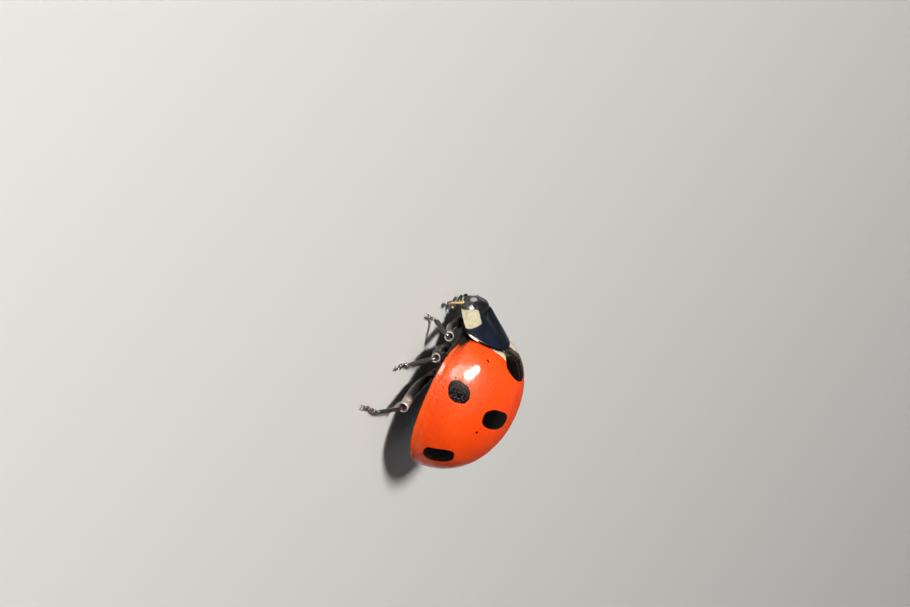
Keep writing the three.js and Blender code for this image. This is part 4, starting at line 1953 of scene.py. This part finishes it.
    def _jaw(self, side: Side, paint: Material) -> None:
        """Builds one curved jaw.

        Args:
            side: of the animal.
            paint: the material.
        """
        path = through(self.jaw, 30)
        t = np.linspace(0, 1, 30)
        wide = profile(((0, 0.02), (0.08, 0.12), (0.5, 0.10), (0.9, 0.05), (1, 0.001)), t)
        high = profile(((0, 0.02), (0.08, 0.10), (0.5, 0.08), (0.9, 0.035), (1, 0.001)), t)
        rings = sweep(path, wide, high, (0, 0, 1), 20)
        piece = Form().grid(ended(rings, path)).mirrored(side).make(f"jaw_{side.word}", paint)
        self.settle(piece, Slot.CUTICLE, f"mandible_{side.word}")


@dataclass
class Leg(Builder):
    """One leg: coxa, thigh with its open knee, shin, jointed foot and claws."""

    pair: Pair
    side: Side
    coxa: Triple
    hip: Triple
    knee: Triple
    ankle: Triple
    toe: Triple
    shift: tuple[float, float]
    knee_radius: float = 0.215
    thigh_radius: float = 0.235
    shin_radius: float = 0.105
    # The thigh's pale outer end is a painted glint; the next two numbers give how pale it is and how far
    # it reaches.
    pale_and_glint: float = 0.5  # how pale the thigh's outer end is
    glint_reach: float = 0.10  # share of the thigh that is pale
    # The socket's pale rim is partly the lip's own colour and partly a painted highlight.
    socket: tuple[Triple, ...] = (  # the knee's rings: size, way outward, how pale
        (1.035, 0.03, 0.8), (1.02, 0.06, 1.0), (0.95, 0.078, 1.0), (0.86, 0.066, 0.8),
        (0.80, 0.02, 0.3), (0.74, -0.06, 0.0), (0.5, -0.14, 0.0), (0.01, -0.16, 0.0),
    )

    def __post_init__(self) -> None:
        """Moves the right legs a little apart from the left ones."""
        out, back = (0.0, 0.0) if self.side is Side.LEFT else self.shift
        shares = {"coxa": 0.0, "hip": 0.0, "knee": 0.5, "ankle": 1.0, "toe": 1.0}
        self.places = {
            name: np.array(getattr(self, name)) + (out * share, back * share, 0)
            for name, share in shares.items()
        }
        self.word = f"{self.pair.value}_{self.side.word}"
        self.node = f"leg_{self.word}"
        self.coat = Coat(tiles=(2, 3))

    def _limb(
        self, path: np.ndarray, wide: np.ndarray, high: np.ndarray, up: Sequence[float],
        tone: np.ndarray, sides: int = 28, form: Optional[Form] = None,
        cover: Optional[np.ndarray] = None,
    ) -> Form:
        """A closed limb with poles at both ends.

        Args:
            path: the middles of its rings.
            wide: half widths.
            high: half heights.
            up: the direction of the height.
            tone: how pale each ring is.
            sides: corners of each ring.
            form: the form that it is added to.
            cover: how hairy each ring is, where the limb has hair.

        Returns:
            The form.
        """
        rings = sweep(path, wide, high, up, sides)
        if cover is not None:
            self.coat.limb(rings, cover)
        tone = np.concatenate([tone[:1], tone, tone[-1:]])[:, None] + np.zeros((1, sides))
        return (form or Form()).grid(ended(rings, path), True, tone=tone[..., None])

    def _coxa(self, paint: Material) -> None:
        """Builds the coxa with the small trochanter.

        Args:
            paint: its material.
        """
        inner, outer = self.places["coxa"], self.places["hip"]
        along = unit(outer - inner)
        path = through((inner - along * 0.28 + (0, 0, 0.06), inner, outer + along * 0.1), 26)
        t = np.linspace(0, 1, 26)
        wide = profile(((0, 0.05), (0.2, 0.22), (0.55, 0.25), (0.9, 0.17), (1, 0.05)), t)
        form = self._limb(path, wide, wide * 0.85, (0, 0, 1), smooth(0.8, 1.0, t) * 0.5)
        thigh = unit(self.places["knee"] - outer)
        path = through((outer - thigh * 0.02, outer + thigh * 0.12, outer + thigh * 0.26), 16)
        t = np.linspace(0, 1, 16)
        wide = profile(((0, 0.06), (0.4, 0.165), (1, 0.10)), t)
        self._limb(path, wide, wide, (0, 0, 1), 0.35 + 0 * t, form=form)
        piece = form.mirrored(self.side).make(f"hip_{self.word}", paint)
        self.settle(piece, Slot.LEG, f"{self.node}_coxa")

    def _thigh(self, paint: Material) -> None:
        """Builds the thigh: a flattened spindle that ends in the open socket of the knee.

        Args:
            paint: its material.
        """
        hip, knee = self.places["hip"], self.places["knee"]
        along = unit(knee - hip)
        middle = (hip + knee) / 2 - (0, 0, 0.10)
        body = through((hip + along * 0.10, middle, knee - along * 0.05), 60)
        t = np.linspace(0, 1, 60)
        big, end = self.thigh_radius, self.knee_radius
        wide = profile((
            (0, 0.09), (0.15, big * 0.85), (0.5, big), (0.82, big * 0.9), (0.93, end * 0.93),
            (1, end),
        ), t)
        high = profile((
            (0, 0.08), (0.15, big * 0.66), (0.5, big * 0.74), (0.85, big * 0.75),
            (0.94, end * 0.84), (1, end * 0.9),
        ), t)
        # Painted glint: paler towards the thigh's outer end.
        tone = self.pale_and_glint * smooth(0.96 - self.glint_reach, 1.0 - self.glint_reach / 2, t)
        tone = tone + 0.25 * smooth(0.12, 0.0, t)
        rings = sweep(body, wide, high, (0, 0, 1), 36)
        self.coat.limb(rings, 0.35 * smooth(0.1, 0.3, t) * smooth(0.99, 0.9, t))
        heading = unit(body[-1] - body[-2])
        last = rings[-1] - body[-1]
        extra = np.stack([body[-1] + heading * out + last * size for size, out, _ in self.socket])
        shades = [shade for _, _, shade in self.socket]
        poles = np.stack([body[0], extra[-1].mean(axis=0)])
        rings = ended(np.concatenate([rings, extra]), poles)
        tone = np.concatenate([[0.3], tone, shades, [0]])[:, None] + np.zeros((1, 36))
        form = Form().grid(rings, True, tone=tone[..., None])
        piece = form.mirrored(self.side).make(f"thigh_{self.word}", paint)
        self.settle(piece, Slot.LEG, f"{self.node}_femur")

    def _shin(self, paint: Material) -> None:
        """Builds the shin, which leaves the knee's socket and ends in two spurs.

        Args:
            paint: its material.
        """
        hip, knee, ankle = (self.places[k] for k in ("hip", "knee", "ankle"))
        along = unit(knee - hip)
        down = unit(ankle - knee)
        start = knee - along * 0.02
        bend = knee + along * 0.07 + down * 0.12
        middle = knee * 0.45 + ankle * 0.55 + along * 0.05
        path = through((start, bend, middle, ankle), 56)
        t = np.linspace(0, 1, 56)
        r = self.shin_radius
        wide = profile((
            (0, 0.06), (0.08, r * 0.72), (0.2, r * 0.9), (0.6, r * 1.08), (0.9, r * 1.1),
            (0.97, r), (1, r * 0.55),
        ), t)
        high = wide * profile(((0, 1.0), (0.3, 0.85), (1, 0.8)), t)
        # Painted reflection: a pale band near the knee; the paler end is the ankle joint's own colour.
        tone = 0.3 * hump(t, 0.12, 0.06) + 0.2 * smooth(0.94, 1.0, t)
        form = self._limb(path, wide, high, along, tone, cover=smooth(0.15, 0.45, t))
        heading = unit(path[-1] - path[-3])
        across = unit(np.cross(heading, along))
        for sign in (-1, 1):
            foot = ankle - heading * 0.05 + across * sign * r * 0.6
            spur = through((foot, foot + heading * 0.09 + across * sign * 0.02, foot + heading * 0.17), 10)
            size = profile(((0, 0.022), (0.5, 0.016), (1, 0.001)), np.linspace(0, 1, 10))
            self._limb(spur, size, size, along, 0.7 + 0 * size, 8, form)
        piece = form.mirrored(self.side).make(f"shin_{self.word}", paint)
        self.settle(piece, Slot.LEG, f"{self.node}_tibia")

    def _ahead(self) -> np.ndarray:
        """The level direction from ankle to toe."""
        return unit((self.places["toe"] - self.places["ankle"]) * (1, 1, 0))

    def _over_foot(self, share: float, height: float) -> np.ndarray:
        """The point over the foot's line.

        Args:
            share: of the way from ankle to toe.
            height: above the floor.

        Returns:
            The point.
        """
        ankle, toe = self.places["ankle"], self.places["toe"]
        reach = np.linalg.norm((toe - ankle)[:2])
        level = ankle * (1, 1, 0) + self._ahead() * reach * share
        return level + np.array([0, 0, height])

    def _foot(self, paint: Material) -> None:
        """Builds the foot's joints.

        Args:
            paint: its material.
        """
        at = self._over_foot
        form = Form()
        joints = (
            (at(-0.03, self.places["ankle"][2] - 0.01), at(0.30, 0.13), 0.048, 0.082, 0.080, 0.05),
            (at(0.24, 0.14), at(0.58, 0.062), 0.045, 0.100, 0.055, 0.05),
            (at(0.48, 0.10), at(0.63, 0.10), 0.042, 0.052, 0.050, 0.05),
        )
        t = np.linspace(0, 1, 22)
        for begin, end, narrow, broad, high, tone in joints:
            path = through((begin, (begin + end) / 2 + (0, 0, 0.012), end), 22)
            wide = profile((
                (0, narrow * 0.6), (0.15, narrow), (0.75, broad), (0.93, broad * 0.92),
                (1, broad * 0.5),
            ), t)
            tall = profile(((0, high * 0.5), (0.3, high * 0.8), (0.8, high), (1, high * 0.45)), t)
            # Painted glint: a pale patch near the end of each foot joint.
            shade = tone + 0.85 * hump(t, 0.70, 0.10)
            self._limb(path, wide, tall, (0, 0, 1), shade, 24, form, smooth(0.1, 0.5, t))
        path = through((at(0.50, 0.10), at(0.66, 0.17), at(0.80, 0.175), at(0.90, 0.13)), 26)
        t = np.linspace(0, 1, 26)
        wide = profile(((0, 0.03), (0.4, 0.042), (0.85, 0.062), (1, 0.03)), t)
        # Painted glint: a pale patch near the end of the last joint.
        shade = 0.05 + 0.4 * hump(t, 0.9, 0.12)
        self._limb(path, wide, wide, (0, 0, 1), shade, 20, form, 0.5 * smooth(0.2, 0.6, t))
        piece = form.mirrored(self.side).make(f"foot_{self.word}", paint)
        self.settle(piece, Slot.LEG, f"{self.node}_tarsus")

    def _claws(self, paint: Material) -> None:
        """Builds the pair of toothed claws.

        Args:
            paint: its material.
        """
        at, ahead = self._over_foot, self._ahead()
        across = np.array([-ahead[1], ahead[0], 0.0])
        claws = Form()
        t = np.linspace(0, 1, 22)
        for sign in (-1, 1):
            root = at(0.88, 0.135) + across * sign * 0.025
            tip = at(1.0, 0.012) + across * sign * 0.085
            knuckle = at(0.955, 0.125) + across * sign * 0.06
            claw = through((root, knuckle, tip), 22)
            size = profile(((0, 0.03), (0.3, 0.034), (0.7, 0.02), (1, 0.002)), t)
            self._limb(claw, size, size, across, 0.5 - 0.3 * t, 14, claws)
            base = claw[8]
            middle = base + (0, 0, -0.04) + ahead * 0.01
            tooth = through((base, middle, base + ahead * 0.03 + (0, 0, -0.075)), 10)
            size = profile(((0, 0.024), (1, 0.002)), np.linspace(0, 1, 10))
            self._limb(tooth, size, size, across, 0.5 + 0 * size, 10, claws)
        piece = claws.mirrored(self.side).make(f"claws_{self.word}", paint)
        self.settle(piece, Slot.LEG)

    def build(
        self, paint: Material, claw_paint: Material, dresser: Hairdresser
    ) -> None:
        """Builds the whole leg.

        Args:
            paint: the leg's material.
            claw_paint: the claws' material.
            dresser: what grows its hair.
        """
        self._coxa(paint)
        self._thigh(paint)
        self._shin(paint)
        self._foot(paint)
        self._claws(claw_paint)
        seed = 10 * list(Pair).index(self.pair) + self.side.value + 2
        dresser.grow(self.coat, f"hair_{self.word}", Slot.LEG, self.side, 0.095, 420, seed=seed)


LEG_PLACES: dict[Pair, dict[str, Any]] = {
    Pair.FRONT: dict(
        coxa=(0.42, -0.30, 0.72), hip=(0.66, -0.30, 0.62), knee=(2.35, -0.13, 1.10),
        ankle=(2.20, -0.42, 0.30), toe=(2.94, -0.63, 0.0), shift=(-0.10, 0.14), knee_radius=0.20,
        thigh_radius=0.22, pale_and_glint=0.42, glint_reach=0.16,
    ),
    Pair.MIDDLE: dict(
        coxa=(0.62, 0.82, 0.74), hip=(0.86, 0.82, 0.62), knee=(2.80, 0.80, 1.08),
        ankle=(3.00, 1.48, 0.30), toe=(4.09, 1.62, 0.0), shift=(0.12, -0.16), knee_radius=0.185,
    ),
    Pair.HIND: dict(
        coxa=(0.78, 1.95, 0.74), hip=(1.05, 2.02, 0.62), knee=(3.35, 3.12, 0.78),
        ankle=(4.72, 3.38, 0.30), toe=(6.25, 3.02, 0.0), shift=(0.0, 0.12), knee_radius=0.23,
        thigh_radius=0.26, shin_radius=0.10, pale_and_glint=0.75, glint_reach=0.26,
    ),
}


# ---------------------------------------------------------------- studio


@dataclass(frozen=True)
class Lamp:
    """A round soft light on the animal."""

    name: str
    heading: Triple  # from the animal to the light
    distance: float  # metres
    width: float  # metres
    power: float  # watts
    tint: Colour
    gloss_only: bool = False

    def hang(self) -> None:
        """Puts the light into the scene, turned to the middle of the animal."""
        data = bpy.data.lights.new(self.name, "AREA")
        data.shape, data.size = "DISK", self.width
        data.energy, data.color = self.power, self.tint
        made = placed(self.name, data)
        away = Vector(self.heading).normalized()
        middle = Vector((0, 0, 1.5)) * MM
        made.location = middle + away * self.distance
        made.rotation_euler = away.to_track_quat("Z", "Y").to_euler()
        made.visible_diffuse = not self.gloss_only


@dataclass
class Studio:
    """Camera, floor and lights."""

    azimuth: float = 74.24
    elevation: float = 16.63
    roll: float = 117.31
    distance: float = 250.0
    pixels_per_mm: float = 24.64
    origin_pixel: tuple[float, float] = (446.04, 320.42)
    picture: tuple[int, int] = (910, 607)
    depth: float = 1.5  # of the sharpest scale, in front of the animal's own origin
    sensor: float = 36.0
    floor_half: float = 2.5  # metres
    sky: Colour = (0.90, 0.94, 1.0)
    sky_strength: float = 0.085
    lamps: tuple[Lamp, ...] = (
        Lamp("key", (0.539, -0.529, 0.572), 0.40, 0.065, 2.15, (1.0, 0.965, 0.91)),
        Lamp("glint", (0.70, -0.475, 0.53), 0.40, 0.13, 8.0, (1.0, 0.97, 0.93), True),
        Lamp("edge", (0.88, -0.42, 0.20), 0.40, 0.16, 0.8, (1.0, 0.97, 0.94), True),
        Lamp("top", (-0.6, 0.1, 0.8), 0.60, 0.40, 0.07, (0.93, 0.96, 1.0)),
    )

    def axes(self) -> tuple[Vector, Vector, Vector]:
        """Works out how the camera is turned.

        Returns:
            Its right, up and backward directions.
        """
        a, e, r = (math.radians(v) for v in (self.azimuth, self.elevation, self.roll))
        back = Vector((math.sin(a) * math.cos(e), -math.cos(a) * math.cos(e), math.sin(e)))
        level = Vector((0, 0, 1)).cross(back).normalized()
        upright = back.cross(level)
        right = level * math.cos(r) + upright * math.sin(r)
        up = upright * math.cos(r) - level * math.sin(r)
        return right, up, back

    def camera(self) -> None:
        """Sets the camera."""
        right, up, back = self.axes()
        across = (self.picture[0] / 2 - self.origin_pixel[0]) / self.pixels_per_mm
        rise = (self.origin_pixel[1] - self.picture[1] / 2) / self.pixels_per_mm
        target = right * across + up * rise + back * self.depth
        place = (target + back * self.distance + Vector((0, ORIGIN_Y, 0))) * MM
        data = bpy.data.cameras.new("camera")
        data.sensor_width = self.sensor
        data.lens = self.pixels_per_mm * self.distance / self.picture[0] * self.sensor
        data.clip_start, data.clip_end = 0.005, 20.0
        made = placed("camera", data)
        turn = Matrix((right, up, back)).transposed()
        made.matrix_world = Matrix.Translation(place) @ turn.to_4x4()
        bpy.context.scene.camera = made

    def build(self) -> None:
        """Builds the studio."""
        self.camera()
        half = self.floor_half
        mesh = bpy.data.meshes.new("floor")
        corners = [(-half, -half, 0), (half, -half, 0), (half, half, 0), (-half, half, 0)]
        mesh.from_pydata(corners, [], [(0, 1, 2, 3)])
        mesh.materials.append(FloorFinish().material())
        placed("floor", mesh)
        for lamp in self.lamps:
            lamp.hang()
        world = bpy.data.worlds.new("studio")
        world.use_nodes = True
        sky = world.node_tree.nodes["Background"]
        sky.inputs["Color"].default_value = (*self.sky, 1.0)
        sky.inputs["Strength"].default_value = self.sky_strength
        bpy.context.scene.world = world
        bpy.context.scene.view_settings.view_transform = "Standard"
        LOG.info("studio ready")


def main() -> None:
    """Builds the model piece by piece."""
    logging.basicConfig(level=logging.INFO, format="%(message)s")
    Studio().build()
    WingCases().build()
    NeckShield().build()
    Scutellum().build()
    CornerPlates().build()
    dresser = Hairdresser()
    Underbody().build(dresser)
    Head().build(dresser)
    leg_paint = LegFinish("leg").material()
    claw_paint = LegFinish("claw", black=(0.018, 0.011, 0.007), rust=(0.07, 0.032, 0.016)).material()
    for pair, places in LEG_PLACES.items():
        for side in Side:
            Leg(pair=pair, side=side, **places).build(leg_paint, claw_paint, dresser)


if __name__ == "__main__":
    main()
